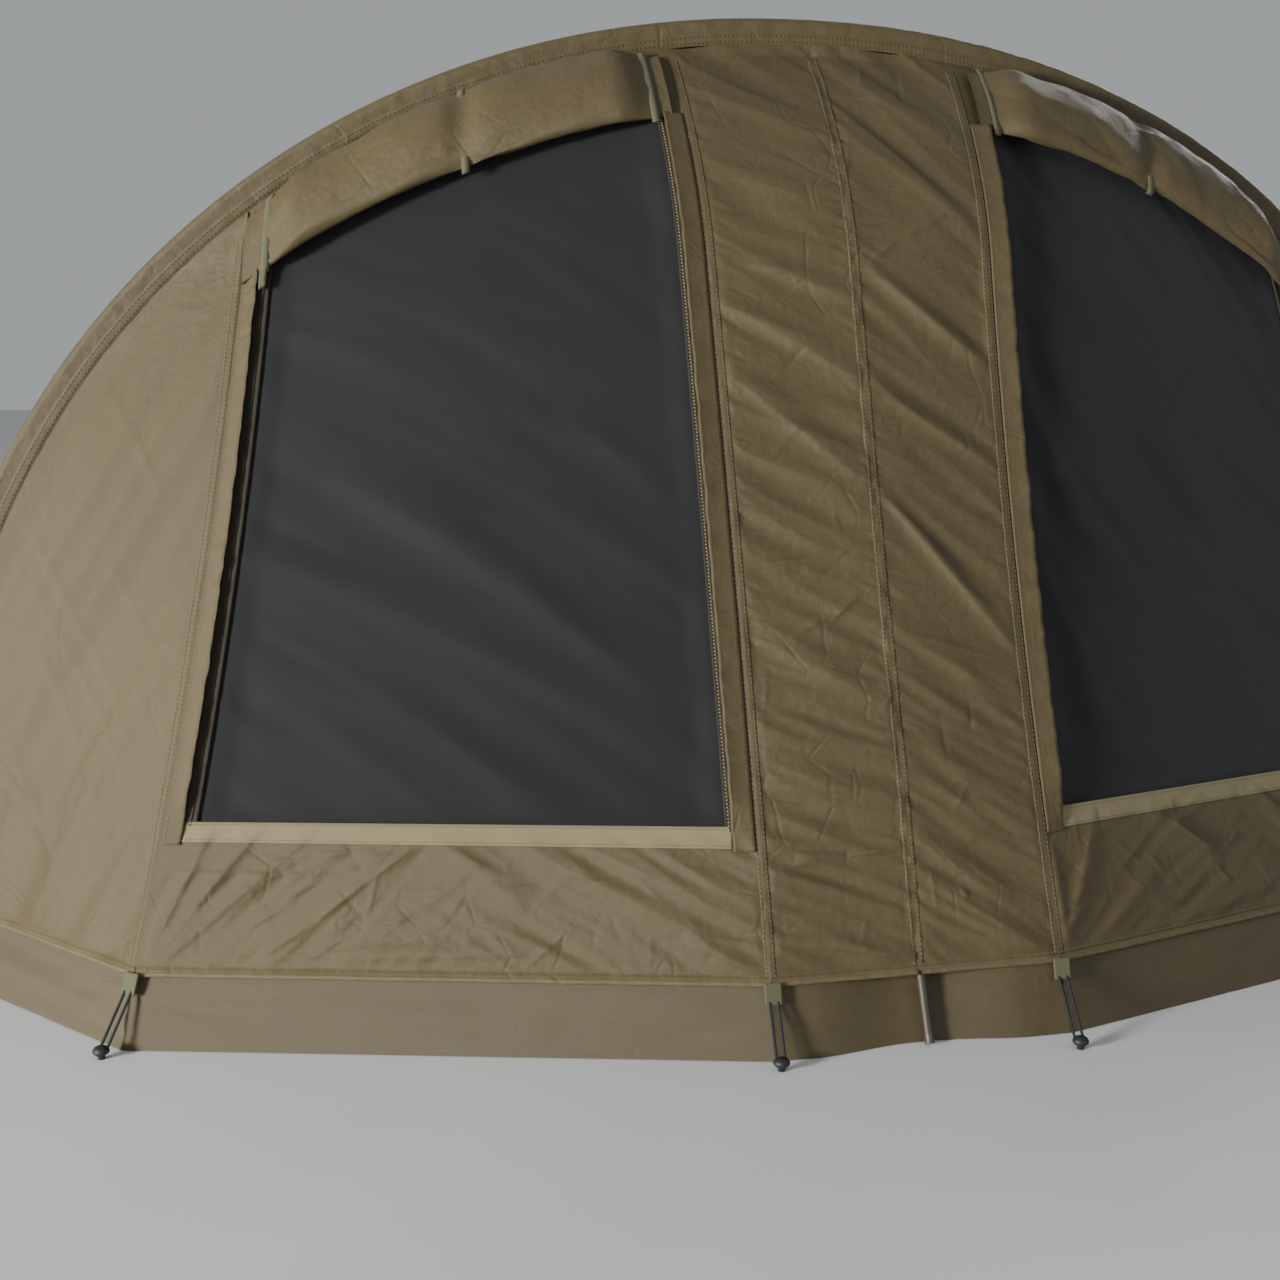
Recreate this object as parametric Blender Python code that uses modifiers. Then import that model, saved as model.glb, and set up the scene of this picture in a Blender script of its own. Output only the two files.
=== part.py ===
"""A two-person fishing bivvy: three arched ribs under a fabric shell, closed at the front.

X runs to the right of someone who faces the front, Y to the rear and Z up. The origin is on the
ground under the middle of the bivvy. Heights called h are measured up from the hem, and depths
are measured from the middle of the front hem until the helper placed() moves them.
"""

import math

import bmesh
import bpy
import numpy as np

# Driving dimensions, in metres
HEM_Z = 0.118  # the hem's height over the ground, with the skirt below it
FABRIC = 0.003  # the thickness of every fabric solid
MESH = 0.0015
GAP = 0.0003  # between pieces that touch
SEAM_GAP = 0.0006  # each fabric edge keeps this far from a shallow seam
FOLD_GAP = 0.00125  # and this far from a seam where the surface turns sharply
RIB_SEAM_GAP = 0.0024  # the front panels' straight facets keep this far from the rib's seam

# The front, left half: the hem's corners and how the seams above them lean
INNER_CORNER = (0.2615, 0.0)
OUTER_CORNER = (1.28, 0.295)
INNER_SEAM_LEAN = (0.022, 0.382)  # inwards and back, per metre of height
INNER_SEAM_BOW = (0.020, 0.040)  # and outwards and forward, per metre of height squared
OUTER_SEAM_LEAN = (0.241, 0.288)
OUTER_SEAM_BOW = 0.0437
OUTER_SEAM_TOP = 1.272  # where the outer seam meets the front rib's seam
GUSSET_TIP = 0.013  # the gusset stops this far below that point
TIP_REACH = 0.9  # and its tip reaches this share of the way to the outer seam
INNER_SEAM_TOP = 1.58
TOP_BEND = 0.135  # how far the front's middle bends back at its top
TOP_BEND_FROM = 1.2
RIDGE = 0.018  # the pole pushes the middle of the front this far forward

# Arches: half width, height over the hem, the foot's depth, and the lean forward per metre
ARCH_POWER = 2.13
RIB_SEAM = (1.632, 1.60, 0.775, 0.086)
MIDDLE_ARCH = (1.69, 1.69, 1.56, 0.01)
REAR_ARCH = (1.50, 1.36, 2.25, 0.10)
ARCH_STEPS = 36
ROOF_SAG = 0.012

# Frame tubes
RIB_RADIUS = 0.008
POLE_RADIUS = 0.008
BAR_RADIUS = 0.006
BAR_ANGLE = 62  # degrees round the arches, from the foot
POLE_ASIDE = 0.010  # the pole's foot stands this far to the right of the middle
POLE_STRAIGHT = 0.3  # above this height the pole follows the seam
TUBE_SEAT = 0.0005  # between a tube and the fabric over it
RIB_RISE = 0.036  # the front rib lies this far outside its seam
RIB_BACK = 0.012

# Rear wall
REAR_CORNER = (0.80, 2.85)
REAR_SEAM_TOP_X = 0.62

# Window in each front panel
WINDOW_BOTTOM = 0.232
WINDOW_OUTER_MARGIN = 0.056  # from the outer seam
WINDOW_INNER_MARGIN = 0.057  # from the inner seam
WINDOW_TOP_MARGIN = 0.085  # down from the rib's seam
MESH_LAP = 0.012
TAPE_LOW = 0.210
TAPE_HIGH = 0.242
OUTER_FLAP = (0.004, 0.036)  # from the outer seam
INNER_FLAP = (0.009, 0.047)  # from the inner seam
FLAP_BOTTOM = 0.205
ROLL_LOW = 0.157  # how far below the rib's seam the rolled screen reaches
ROLL_HIGH = 0.010
ROLL_DEPTH = 0.052
ROLL_ENDS = (0.006, 0.965)  # across the panel, from the outer seam
ROLL_TAPER = 0.13
ROLL_THIN_END = 0.25
ROLL_SEAT = 0.0022  # its straight facets clear the panel's by this much

# Skirt
SKIRT_OUT = 0.040
SKIRT_DROP = 0.0018  # its upper edge lies this far below the hem
SKIRT_FLOOR = 0.0025
POLE_CREASE = 0.0235  # the skirt passes behind the pole
CREASE_WIDTH = 0.045

# Peg points: where each peg stands, as depth and distance from the middle
FRONT_PEGS = {
    "front_outer_left": (-1.335, 0.235),
    "front_inner_left": (-0.268, -0.074),
    "front_inner_right": (0.249, -0.105),
    "front_outer_right": (1.335, 0.235),
}
REAR_PEGS = {
    "rear_outer_left": (-1.545, 2.33),
    "rear_inner_left": (-0.83, 2.955),
    "rear_inner_right": (0.83, 2.955),
    "rear_outer_right": (1.545, 2.33),
}
PEG_HEAD_RADIUS = 0.014
PEG_HEAD_LOW = 0.010
PEG_HEAD_HIGH = 0.022
PEG_NECK_RADIUS = 0.006
BUNGEE_RADIUS = 0.002
WEB_WIDTH = 0.030
WEB_DROP = 0.028
WEB_THICK = 0.004

FRONT_REACH = FRONT_PEGS["front_inner_right"][1] - PEG_HEAD_RADIUS
REAR_REACH = REAR_PEGS["rear_inner_left"][1] + PEG_HEAD_RADIUS
MIDDLE_DEPTH = (FRONT_REACH + REAR_REACH) / 2

COLOURS = {
    "fabric": ((0.150, 0.128, 0.080), 0.62, 0.0),
    "light_fabric": ((0.270, 0.225, 0.140), 0.62, 0.0),
    "skirt": ((0.110, 0.095, 0.058), 0.70, 0.0),
    "mesh": ((0.030, 0.030, 0.030), 0.80, 0.0),
    "tape": ((0.420, 0.390, 0.250), 0.85, 0.0),
    "tube": ((0.120, 0.100, 0.080), 0.40, 0.6),
    "peg_set": ((0.045, 0.050, 0.030), 0.55, 0.0),
}

for old in list(bpy.data.objects):
    bpy.data.objects.remove(old, do_unlink=True)
bivvy = bpy.data.collections.new("fishing_bivvy")
bpy.context.scene.collection.children.link(bivvy)
cutters = bpy.data.collections.new("cutters")
bpy.context.scene.collection.children.link(cutters)


def material(name):
    """One Principled material for each finish."""
    found = bpy.data.materials.get(name)
    if found:
        return found
    colour, roughness, metallic = COLOURS[name]
    made = bpy.data.materials.new(name)
    made.use_nodes = True
    shader = made.node_tree.nodes["Principled BSDF"]
    shader.inputs["Base Color"].default_value = (*colour, 1)
    shader.inputs["Roughness"].default_value = roughness
    shader.inputs["Metallic"].default_value = metallic
    return made


def placed(points):
    """Points measured from the front hem, moved so that the origin is under the middle."""
    return np.asarray(points, float) + np.array([0, -MIDDLE_DEPTH, HEM_Z])


def unit(v):
    v = np.asarray(v, float)
    return v / np.maximum(np.linalg.norm(v, axis=-1, keepdims=True), 1e-9)


def mirrored(grid):
    """The same surface on the other side, with its rows turned so that it still faces out."""
    return (grid * np.array([-1, 1, 1]))[:, ::-1]


# Grids of points: rows run upwards and columns run to the right as seen from outside


def normals(grid):
    """The outward direction at each point of a grid."""
    along = np.gradient(grid, axis=1)
    up = np.gradient(grid, axis=0)
    return unit(np.cross(along, up))


def inset(grid, left=0.0, right=0.0, bottom=0.0, top=0.0):
    """The grid with its outer rows and columns moved in, square to each edge."""
    out = grid.copy()
    for edge, step, amount in ((0, 1, left), (-1, -2, right)):
        run = unit(np.gradient(grid[:, edge], axis=0))
        inwards = grid[:, step] - grid[:, edge]
        inwards = unit(inwards - (inwards * run).sum(1, keepdims=True) * run)
        out[:, edge] += amount * inwards
    for edge, step, amount in ((0, 1, bottom), (-1, -2, top)):
        run = unit(np.gradient(grid[edge], axis=0))
        inwards = grid[step] - grid[edge]
        inwards = unit(inwards - (inwards * run).sum(1, keepdims=True) * run)
        out[edge] += amount * inwards
    return out


def new_object(name, mesh, finish):
    made = bpy.data.objects.new(name, mesh)
    made.data.materials.append(material(finish))
    bivvy.objects.link(made)
    return made


def sheet(name, grid, finish, thickness=FABRIC, hole=None):
    """A fabric solid: the grid is its outer face, and a hole leaves out (rows, columns)."""
    form = bmesh.new()
    rows, columns = grid.shape[:2]
    points = [[form.verts.new(p) for p in row] for row in placed(grid)]
    for r in range(rows - 1):
        for c in range(columns - 1):
            if hole and r in hole[0] and c in hole[1]:
                continue
            form.faces.new(
                (points[r][c], points[r][c + 1], points[r + 1][c + 1], points[r + 1][c])
            )
    loose = [v for v in form.verts if not v.link_faces]
    bmesh.ops.delete(form, geom=loose, context="VERTS")
    mesh = bpy.data.meshes.new(name)
    form.to_mesh(mesh)
    form.free()
    made = new_object(name, mesh, finish)
    mesh.shade_smooth()
    solid = made.modifiers.new("thickness", "SOLIDIFY")
    solid.thickness = thickness
    solid.offset = -1
    solid.use_even_offset = True
    return made


def tube(name, path, radius, finish, closed=False, sides=8):
    """A round tube along a path, with filled ends."""
    curve = bpy.data.curves.new(name, "CURVE")
    curve.dimensions = "3D"
    line = curve.splines.new("POLY")
    line.points.add(len(path) - 1)
    for point, place in zip(line.points, placed(path)):
        point.co = (*place, 1)
    line.use_cyclic_u = closed
    curve.bevel_depth = radius
    curve.bevel_resolution = sides // 2 - 2
    curve.use_fill_caps = not closed
    return new_object(name, curve, finish)


def as_mesh(thing):
    """Turns a curve object into a mesh object of the same name, with its caps welded."""
    name = thing.name
    shown = thing.evaluated_get(bpy.context.evaluated_depsgraph_get())
    mesh = bpy.data.meshes.new_from_object(shown)
    place = thing.matrix_world.copy()
    owner = thing.users_collection[0]
    bpy.data.objects.remove(thing, do_unlink=True)
    form = bmesh.new()
    form.from_mesh(mesh)
    bmesh.ops.remove_doubles(form, verts=form.verts, dist=0.00001)
    bmesh.ops.recalc_face_normals(form, faces=form.faces)
    form.to_mesh(mesh)
    form.free()
    made = bpy.data.objects.new(name, mesh)
    made.matrix_world = place
    owner.objects.link(made)
    return made


def join(base, other):
    """Unions another solid into the base, and hides the other among the cutters."""
    for owner in other.users_collection:
        owner.objects.unlink(other)
    cutters.objects.link(other)
    other.hide_render = True
    other.display_type = "WIRE"
    union = base.modifiers.new("join_" + other.name, "BOOLEAN")
    union.operation = "UNION"
    union.solver = "EXACT"
    union.object = other


# Arches


def arch_angles(first=0.0, last=180.0, steps=ARCH_STEPS):
    return np.radians(np.linspace(first, last, steps + 1))


def arch(sizes, angles):
    """Points along an arch, from its left foot over the top to its right foot."""
    half, height, depth, lean = sizes
    c, s = np.cos(angles), np.maximum(np.sin(angles), 0)
    x = -half * np.sign(c) * np.abs(c) ** (2 / ARCH_POWER)
    h = height * s ** (2 / ARCH_POWER)
    return np.stack([x, depth - lean * h, h], axis=1)


def arch_at(sizes, h):
    """How far from the middle an arch is at height h, and its depth there."""
    half, height, depth, lean = sizes
    x = half * (1 - (h / height) ** ARCH_POWER) ** (1 / ARCH_POWER)
    return x, depth - lean * h


def arch_height(sizes, x):
    half, height = sizes[:2]
    return height * (1 - (abs(x) / half) ** ARCH_POWER) ** (1 / ARCH_POWER)


def arch_outwards(sizes, angles):
    """The direction square to an arch, in its own plane, away from its middle."""
    half, height, _, lean = sizes
    c, s = np.cos(angles), np.maximum(np.sin(angles), 0)
    power = 2 - 2 / ARCH_POWER
    x = -np.sign(c) * np.abs(c) ** power / half
    h = s**power / height
    return unit(np.stack([x, -lean * h, h], axis=1))


# The front's surface, left half. Column 0 lies on the outer seam and column 1 on the inner seam.


def front_depth(h):
    """How far back the front's middle lies at height h."""
    bend = TOP_BEND * np.clip((h - TOP_BEND_FROM) / (INNER_SEAM_TOP - TOP_BEND_FROM), 0, 1) ** 2
    return INNER_CORNER[1] + INNER_SEAM_LEAN[1] * h - INNER_SEAM_BOW[1] * h**2 + bend


def inner_seam(h):
    x = INNER_CORNER[0] - INNER_SEAM_LEAN[0] * h + INNER_SEAM_BOW[0] * h**2
    return np.array([-x, front_depth(h), h])


def outer_seam(h):
    x = OUTER_CORNER[0] - OUTER_SEAM_LEAN[0] * h + OUTER_SEAM_BOW * h**2
    return np.array([-x, OUTER_CORNER[1] + OUTER_SEAM_LEAN[1] * h, h])


def rib_seam_between(share):
    """The rib's seam, from the outer seam's top to the inner seam's top."""
    x = -arch_at(RIB_SEAM, OUTER_SEAM_TOP)[0] * (1 - share) + inner_seam(INNER_SEAM_TOP)[0] * share
    h = arch_height(RIB_SEAM, x)
    return np.array([x, RIB_SEAM[2] - RIB_SEAM[3] * h, h])


LEVEL_PART = 0.16  # the share of the rows that lies below the window and stays level
WINDOW_ROWS = 8
WINDOW_COLUMNS = 9


def seam_height(up, top):
    """How high a row of the window panel meets a seam that ends at top."""
    rise = max(0.0, (up - LEVEL_PART) / (1 - LEVEL_PART))
    return WINDOW_BOTTOM * min(1.0, up / LEVEL_PART) + rise * (top - WINDOW_BOTTOM)


def panel_point(across, up):
    """A point of the window panel: both from 0 to 1, from the outer seam and from the hem."""
    rise = max(0.0, (up - LEVEL_PART) / (1 - LEVEL_PART))
    left = outer_seam(seam_height(up, OUTER_SEAM_TOP))
    right = inner_seam(seam_height(up, INNER_SEAM_TOP))
    first, last = rib_seam_between(0), rib_seam_between(1)
    bow = rib_seam_between(across) - (first + (last - first) * across)
    closing = (first - left) * (1 - across) + (last - right) * across
    share = rise**1.5
    at_top = closing if rise >= 1 else 0
    return left + (right - left) * across + bow * share + at_top


def row_length(up):
    return np.linalg.norm(panel_point(1, up) - panel_point(0, up))


def column_length(across):
    return np.linalg.norm(panel_point(across, 1) - panel_point(across, LEVEL_PART))


def up_at(h):
    """The row at height h, for heights up to the window's lower edge or a little over it."""
    if h <= WINDOW_BOTTOM:
        return LEVEL_PART * h / WINDOW_BOTTOM
    return LEVEL_PART + (1 - LEVEL_PART) * (h - WINDOW_BOTTOM) / (OUTER_SEAM_TOP - WINDOW_BOTTOM)


def up_below_top(across, distance):
    return 1 - (1 - LEVEL_PART) * distance / column_length(across)


def lifted(across, up, lift):
    """A point of the window panel moved outwards by lift."""
    small = 0.004
    a = min(max(across, small), 1 - small)
    b = min(max(up, small), 1 - small)
    along = panel_point(a + small, b) - panel_point(a - small, b)
    rise = panel_point(a, b + small) - panel_point(a, b - small)
    return panel_point(across, up) + unit(np.cross(along, rise)) * lift


def margins(up, outer, inner):
    """The columns that lie at these distances from the outer and the inner seam."""
    length = row_length(up)
    return outer / length, 1 - inner / length


def window_levels():
    """The rows from the window's lower edge to its upper edge."""
    top = up_below_top(0.5, WINDOW_TOP_MARGIN)
    return np.linspace(LEVEL_PART, top, WINDOW_ROWS)


def mesh_top():
    """The row where the insect mesh ends, above the window's upper edge."""
    return up_below_top(0.5, WINDOW_TOP_MARGIN - MESH_LAP)


def panel_rows():
    """The rows of the front panels, from the hem to the rib's seam."""
    return (0, LEVEL_PART / 2, *window_levels(), mesh_top(), 1)


def window_columns(up):
    """The columns from the window's outer edge to its inner edge, in one row."""
    first, last = margins(up, WINDOW_OUTER_MARGIN, WINDOW_INNER_MARGIN)
    return np.linspace(first, last, WINDOW_COLUMNS)


def add_window_panels():
    """The two front panels beside the middle, each with its window cut out."""
    rows = []
    for up in panel_rows():
        rows.append([panel_point(a, up) for a in (0, *window_columns(up), 1)])
    grid = inset(np.array(rows), FOLD_GAP, SEAM_GAP, 0, RIB_SEAM_GAP)
    hole = (range(2, 1 + WINDOW_ROWS), range(1, WINDOW_COLUMNS))
    sheet("left_window_panel", grid, "fabric", hole=hole)
    sheet("right_window_panel", mirrored(grid), "fabric", hole=hole)


def add_window_meshes():
    """The insect mesh, sewn behind each window."""
    rows = []
    for up in (up_at(WINDOW_BOTTOM - MESH_LAP), *window_levels(), mesh_top()):
        lap = MESH_LAP / row_length(up)
        columns = window_columns(up)
        across = (columns[0] - lap, *columns, columns[-1] + lap)
        rows.append([lifted(a, up, -FABRIC - 3 * GAP) for a in across])
    grid = np.array(rows)
    sheet("left_window_mesh", grid, "mesh", MESH)
    sheet("right_window_mesh", mirrored(grid), "mesh", MESH)


def add_tapes():
    """The hook tape along each window's lower edge."""
    rows = []
    for up in (up_at(TAPE_LOW), LEVEL_PART, up_at(TAPE_HIGH)):
        first, last = margins(up, OUTER_FLAP[1] + GAP, INNER_FLAP[1] + GAP)
        across = (first, *window_columns(up), last)
        rows.append([lifted(a, up, GAP + FABRIC) for a in across])
    grid = np.array(rows)
    sheet("left_window_tape", grid, "tape")
    sheet("right_window_tape", mirrored(grid), "tape")


def add_flaps():
    """The strips that cover the zips beside each window."""
    outer_top = up_below_top(0.05, ROLL_LOW + 0.004)
    inner_top = up_below_top(0.96, ROLL_LOW + 0.004)
    for place, top in (("outer", outer_top), ("inner", inner_top)):
        rows = []
        for up in (up_at(FLAP_BOTTOM), *[u for u in window_levels() if u < top], top):
            length = row_length(up)
            if place == "outer":
                across = [distance / length for distance in OUTER_FLAP]
            else:
                across = [1 - distance / length for distance in reversed(INNER_FLAP)]
            rows.append([lifted(a, up, 2 * GAP + FABRIC) for a in across])
        grid = np.array(rows)
        sheet(f"left_{place}_zip_flap", grid, "fabric")
        sheet(f"right_{place}_zip_flap", mirrored(grid), "fabric")


def ring_solid(name, sections, finish):
    """A closed solid through rings of points, with flat ends."""
    form = bmesh.new()
    rings = [[form.verts.new(p) for p in placed(ring)] for ring in sections]
    count = len(rings[0])
    for first, second in zip(rings, rings[1:]):
        for i in range(count):
            j = (i + 1) % count
            form.faces.new((first[i], first[j], second[j], second[i]))
    form.faces.new(rings[0][::-1])
    form.faces.new(rings[-1])
    bmesh.ops.recalc_face_normals(form, faces=form.faces)
    mesh = bpy.data.meshes.new(name)
    form.to_mesh(mesh)
    form.free()
    mesh.shade_smooth()
    mesh.set_sharp_from_angle(angle=math.radians(50))
    return new_object(name, mesh, finish)


def add_rolled_screens():
    """The solid screen of each window, rolled up along the window's top."""
    turns = np.radians(np.linspace(0, 180, 7))
    middle, half = (ROLL_LOW + ROLL_HIGH) / 2, (ROLL_LOW - ROLL_HIGH) / 2
    sections = []
    for across in np.linspace(*ROLL_ENDS, 15):
        end = min(across - ROLL_ENDS[0], ROLL_ENDS[1] - across)
        fat = ROLL_THIN_END + (1 - ROLL_THIN_END) * min(1.0, end / ROLL_TAPER)
        ring = []
        for turn in turns:
            up = up_below_top(across, middle + half * math.cos(turn))
            ring.append(lifted(across, up, ROLL_SEAT + ROLL_DEPTH * fat * math.sin(turn)))
        for up in (mesh_top(), window_levels()[-1]):
            ring.append(lifted(across, up, ROLL_SEAT))
        sections.append(ring)
    ring_solid("left_rolled_screen", sections, "light_fabric")
    other = [[p * np.array([-1, 1, 1]) for p in ring] for ring in sections]
    ring_solid("right_rolled_screen", other, "light_fabric")


def add_centre_panels():
    """The middle of the front: two halves with a seam over the pole."""
    rows = []
    for row in panel_rows():
        seam_h = seam_height(row, INNER_SEAM_TOP)
        seam = inner_seam(seam_h)
        up = seam_h / INNER_SEAM_TOP
        h = up * RIB_SEAM[1]
        ridge = RIDGE * min(1.0, h / 0.3) * (1 - up**4)
        top_depth = RIB_SEAM[2] - RIB_SEAM[3] * RIB_SEAM[1]
        depth = front_depth(min(h, INNER_SEAM_TOP)) - ridge
        if up == 1:
            seam = rib_seam_between(1)
            depth = top_depth
        middle = np.array([0, depth, h])
        rows.append([seam * (1 - a) + middle * a for a in (0, 0.33, 0.66, 1)])
    rows = np.array(rows)
    for c in (1, 2):
        x = rows[-1, c, 0]
        h = arch_height(RIB_SEAM, x)
        rows[-1, c] = (x, RIB_SEAM[2] - RIB_SEAM[3] * h, h)
    grid = inset(rows, SEAM_GAP, SEAM_GAP, 0, RIB_SEAM_GAP)
    sheet("centre_panel_left", grid, "fabric")
    sheet("centre_panel_right", mirrored(grid), "fabric")
    return rows[:, -1]


def add_gussets():
    """The tapered panels between the front rib and the outer seams."""
    rows = []
    last = OUTER_SEAM_TOP - GUSSET_TIP
    stations = arch(RIB_SEAM, arch_angles())[: ARCH_STEPS // 2, 2]
    for h in (*[h for h in stations if h < last - 0.01], last):
        x, depth = arch_at(RIB_SEAM, h)
        rib = np.array([-x, depth, h])
        reach = TIP_REACH if h == last else 1
        rows.append([rib + (outer_seam(h) - rib) * a * reach for a in (0, 0.25, 0.5, 0.75, 1)])
    grid = inset(np.array(rows), RIB_SEAM_GAP, FOLD_GAP, 0, 0)
    sheet("left_gusset", grid, "light_fabric")
    sheet("right_gusset", mirrored(grid), "light_fabric")


# The front rib and the sleeve round it


def sleeve_point(angles, turn):
    """Points round the front rib: turn 0 is its front, 90 its outer side, 180 its back."""
    seam = arch(RIB_SEAM, angles)
    out = arch_outwards(RIB_SEAM, angles)
    back = unit(np.array([0, 1, RIB_SEAM[3]]))
    centre = seam + out * RIB_RISE + back * RIB_BACK
    radius = RIB_RADIUS + TUBE_SEAT + FABRIC
    t = math.radians(turn)
    return centre + radius * (out * math.sin(t) - back * math.cos(t))


def add_front_sleeve():
    angles = arch_angles()
    columns = [sleeve_point(angles, turn) for turn in (96, 60, 30, 0)]
    columns.append(arch(RIB_SEAM, angles))
    grid = np.stack(columns, axis=1)
    grid[0, :, 2] = 0
    grid[-1, :, 2] = 0
    sheet("front_rib_sleeve", inset(grid, SEAM_GAP, SEAM_GAP), "fabric")
    return grid[:, 0]


def roof_grid(rear, front, steps):
    """Rows of points from one arch to another, sagging a little between them."""
    rows = []
    for i, (start, end) in enumerate(zip(rear, front)):
        over = math.sin(math.pi * i / (len(rear) - 1))
        row = []
        for share in np.linspace(0, 1, steps + 1):
            row.append(start + (end - start) * share)
        rows.append((over, row))
    grid = np.array([row for _, row in rows])
    facing = normals(grid)
    for r, (over, _) in enumerate(rows):
        for c, share in enumerate(np.linspace(0, 1, steps + 1)):
            grid[r, c] -= facing[r, c] * ROOF_SAG * math.sqrt(over) * 4 * share * (1 - share)
    return grid


def rear_wall_grids():
    """The rear wall's middle and its left side, as seen from behind."""
    top_h = arch_height(REAR_ARCH, REAR_SEAM_TOP_X)
    low = np.array([REAR_CORNER[0], REAR_CORNER[1], 0])
    high = np.array([REAR_SEAM_TOP_X, REAR_ARCH[2] - REAR_ARCH[3] * top_h, top_h])
    middle, side = [], []
    stations = arch(REAR_ARCH, arch_angles())
    over = [x / REAR_SEAM_TOP_X for x in stations[::-1, 0] if abs(x) < REAR_SEAM_TOP_X - 0.01]
    for up in np.linspace(0, 1, 7):
        seam = low + (high - low) * up
        row = []
        for a in (1, *over, -1):
            point = seam * np.array([a, 1, 1])
            h = arch_height(REAR_ARCH, REAR_SEAM_TOP_X * a)
            top = np.array([REAR_SEAM_TOP_X * a, REAR_ARCH[2] - REAR_ARCH[3] * h, h])
            row.append(point + (top - high * np.array([a, 1, 1])) * up**1.5)
        middle.append(row)
    last = 0.985 * top_h
    for h in (*[h for h in stations[: ARCH_STEPS // 2, 2] if h < last - 0.01], last):
        seam = low + (high - low) * h / top_h
        x, depth = arch_at(REAR_ARCH, h)
        rib = np.array([x, depth, h])
        side.append([rib + (seam - rib) * a for a in (0, 0.25, 0.5, 0.75, 1)])
    return np.array(middle), np.array(side)


def rib_path(line, first, second):
    """A tube's path under a fold, clear of the surfaces on both sides of it."""
    between = unit(first + second)
    steep = np.maximum((between * first).sum(1, keepdims=True), 0.5)
    return line - between * (RIB_RADIUS + FABRIC + TUBE_SEAT) / steep


def with_feet(path):
    """The path carried straight down to the ground at both ends."""
    ends = []
    for end in (path[0], path[-1]):
        foot = end.copy()
        foot[2] = -HEM_Z
        ends.append(foot)
    return np.array([ends[0], *path, ends[1]])


def add_roof_and_ribs():
    """The roof from the sleeve to the rear arch, the rear wall, and the three ribs below."""
    angles = arch_angles()
    sleeve_edge = add_front_sleeve()
    middle_line = arch(MIDDLE_ARCH, angles)
    rear_line = arch(REAR_ARCH, angles)
    front_roof = roof_grid(middle_line, sleeve_edge, 4)
    rear_roof = roof_grid(rear_line, middle_line, 4)
    sheet("roof_front", inset(front_roof, FOLD_GAP, SEAM_GAP), "light_fabric")
    sheet("roof_rear", inset(rear_roof, FOLD_GAP, FOLD_GAP), "light_fabric")

    centre, side = rear_wall_grids()
    sheet("rear_wall_centre", inset(centre, SEAM_GAP, SEAM_GAP, 0, FOLD_GAP), "fabric")
    grid = inset(side, FOLD_GAP, FOLD_GAP)
    sheet("rear_wall_right", grid, "light_fabric")
    sheet("rear_wall_left", mirrored(grid), "light_fabric")

    seam = arch(RIB_SEAM, angles)
    back = unit(np.array([0, 1, RIB_SEAM[3]]))
    front_path = seam + arch_outwards(RIB_SEAM, angles) * RIB_RISE + back * RIB_BACK
    front_path[[0, -1], 2] = 0
    tube("front_rib", with_feet(front_path), RIB_RADIUS, "tube")

    front_facing, rear_facing = normals(front_roof), normals(rear_roof)
    middle_path = rib_path(middle_line, front_facing[:, 0], rear_facing[:, -1])
    middle_path[[0, -1], 2] = 0
    tube("middle_rib", with_feet(middle_path), RIB_RADIUS, "tube")

    edge = np.concatenate([mirrored(side)[:, -1], centre[-1], side[:, 0]])
    facing = np.concatenate(
        [normals(mirrored(side))[:, -1], normals(centre)[-1], normals(side)[:, 0]]
    )
    nearest = [np.linalg.norm(edge - point, axis=1).argmin() for point in rear_line]
    rear_path = rib_path(rear_line, rear_facing[:, 0], facing[nearest])
    rear_path[[0, -1], 2] = 0
    tube("rear_rib", with_feet(rear_path), RIB_RADIUS, "tube")
    return front_path, middle_path


def add_bars(front_path, middle_path):
    """The two straight bars that hold the front rib and the middle rib apart."""
    near = int(round(BAR_ANGLE / 180 * ARCH_STEPS))
    under = RIB_RADIUS + BAR_RADIUS + GAP
    for side, index in (("left", near), ("right", ARCH_STEPS - near)):
        ends = []
        for path in (front_path, middle_path):
            inwards = unit(np.array([0, path[index][1], 0.4]) - path[index])
            ends.append(path[index] + inwards * under)
        tube(f"{side}_spreader_bar", np.array(ends), BAR_RADIUS, "tube")


def add_pole(ridge_line):
    """The pole behind the front's middle seam, standing on the ground in front of the skirt."""
    inwards = unit(np.array([0, 1, -INNER_SEAM_LEAN[1]]))
    path = ridge_line[:-1] + inwards * (POLE_RADIUS + FABRIC + 2 * TUBE_SEAT)
    end_rise = POLE_RADIUS * INNER_SEAM_LEAN[1]
    foot = path[0] - np.array([0, INNER_SEAM_LEAN[1], 1]) * (HEM_Z + path[0][2] - end_rise)
    path = np.array([foot, *path])
    path[:, 0] += POLE_ASIDE * np.clip(1 - (path[:, 2] + HEM_Z) / (POLE_STRAIGHT + HEM_Z), 0, 1)
    tube("centre_pole", path, POLE_RADIUS, "tube")


# The skirt


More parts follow.
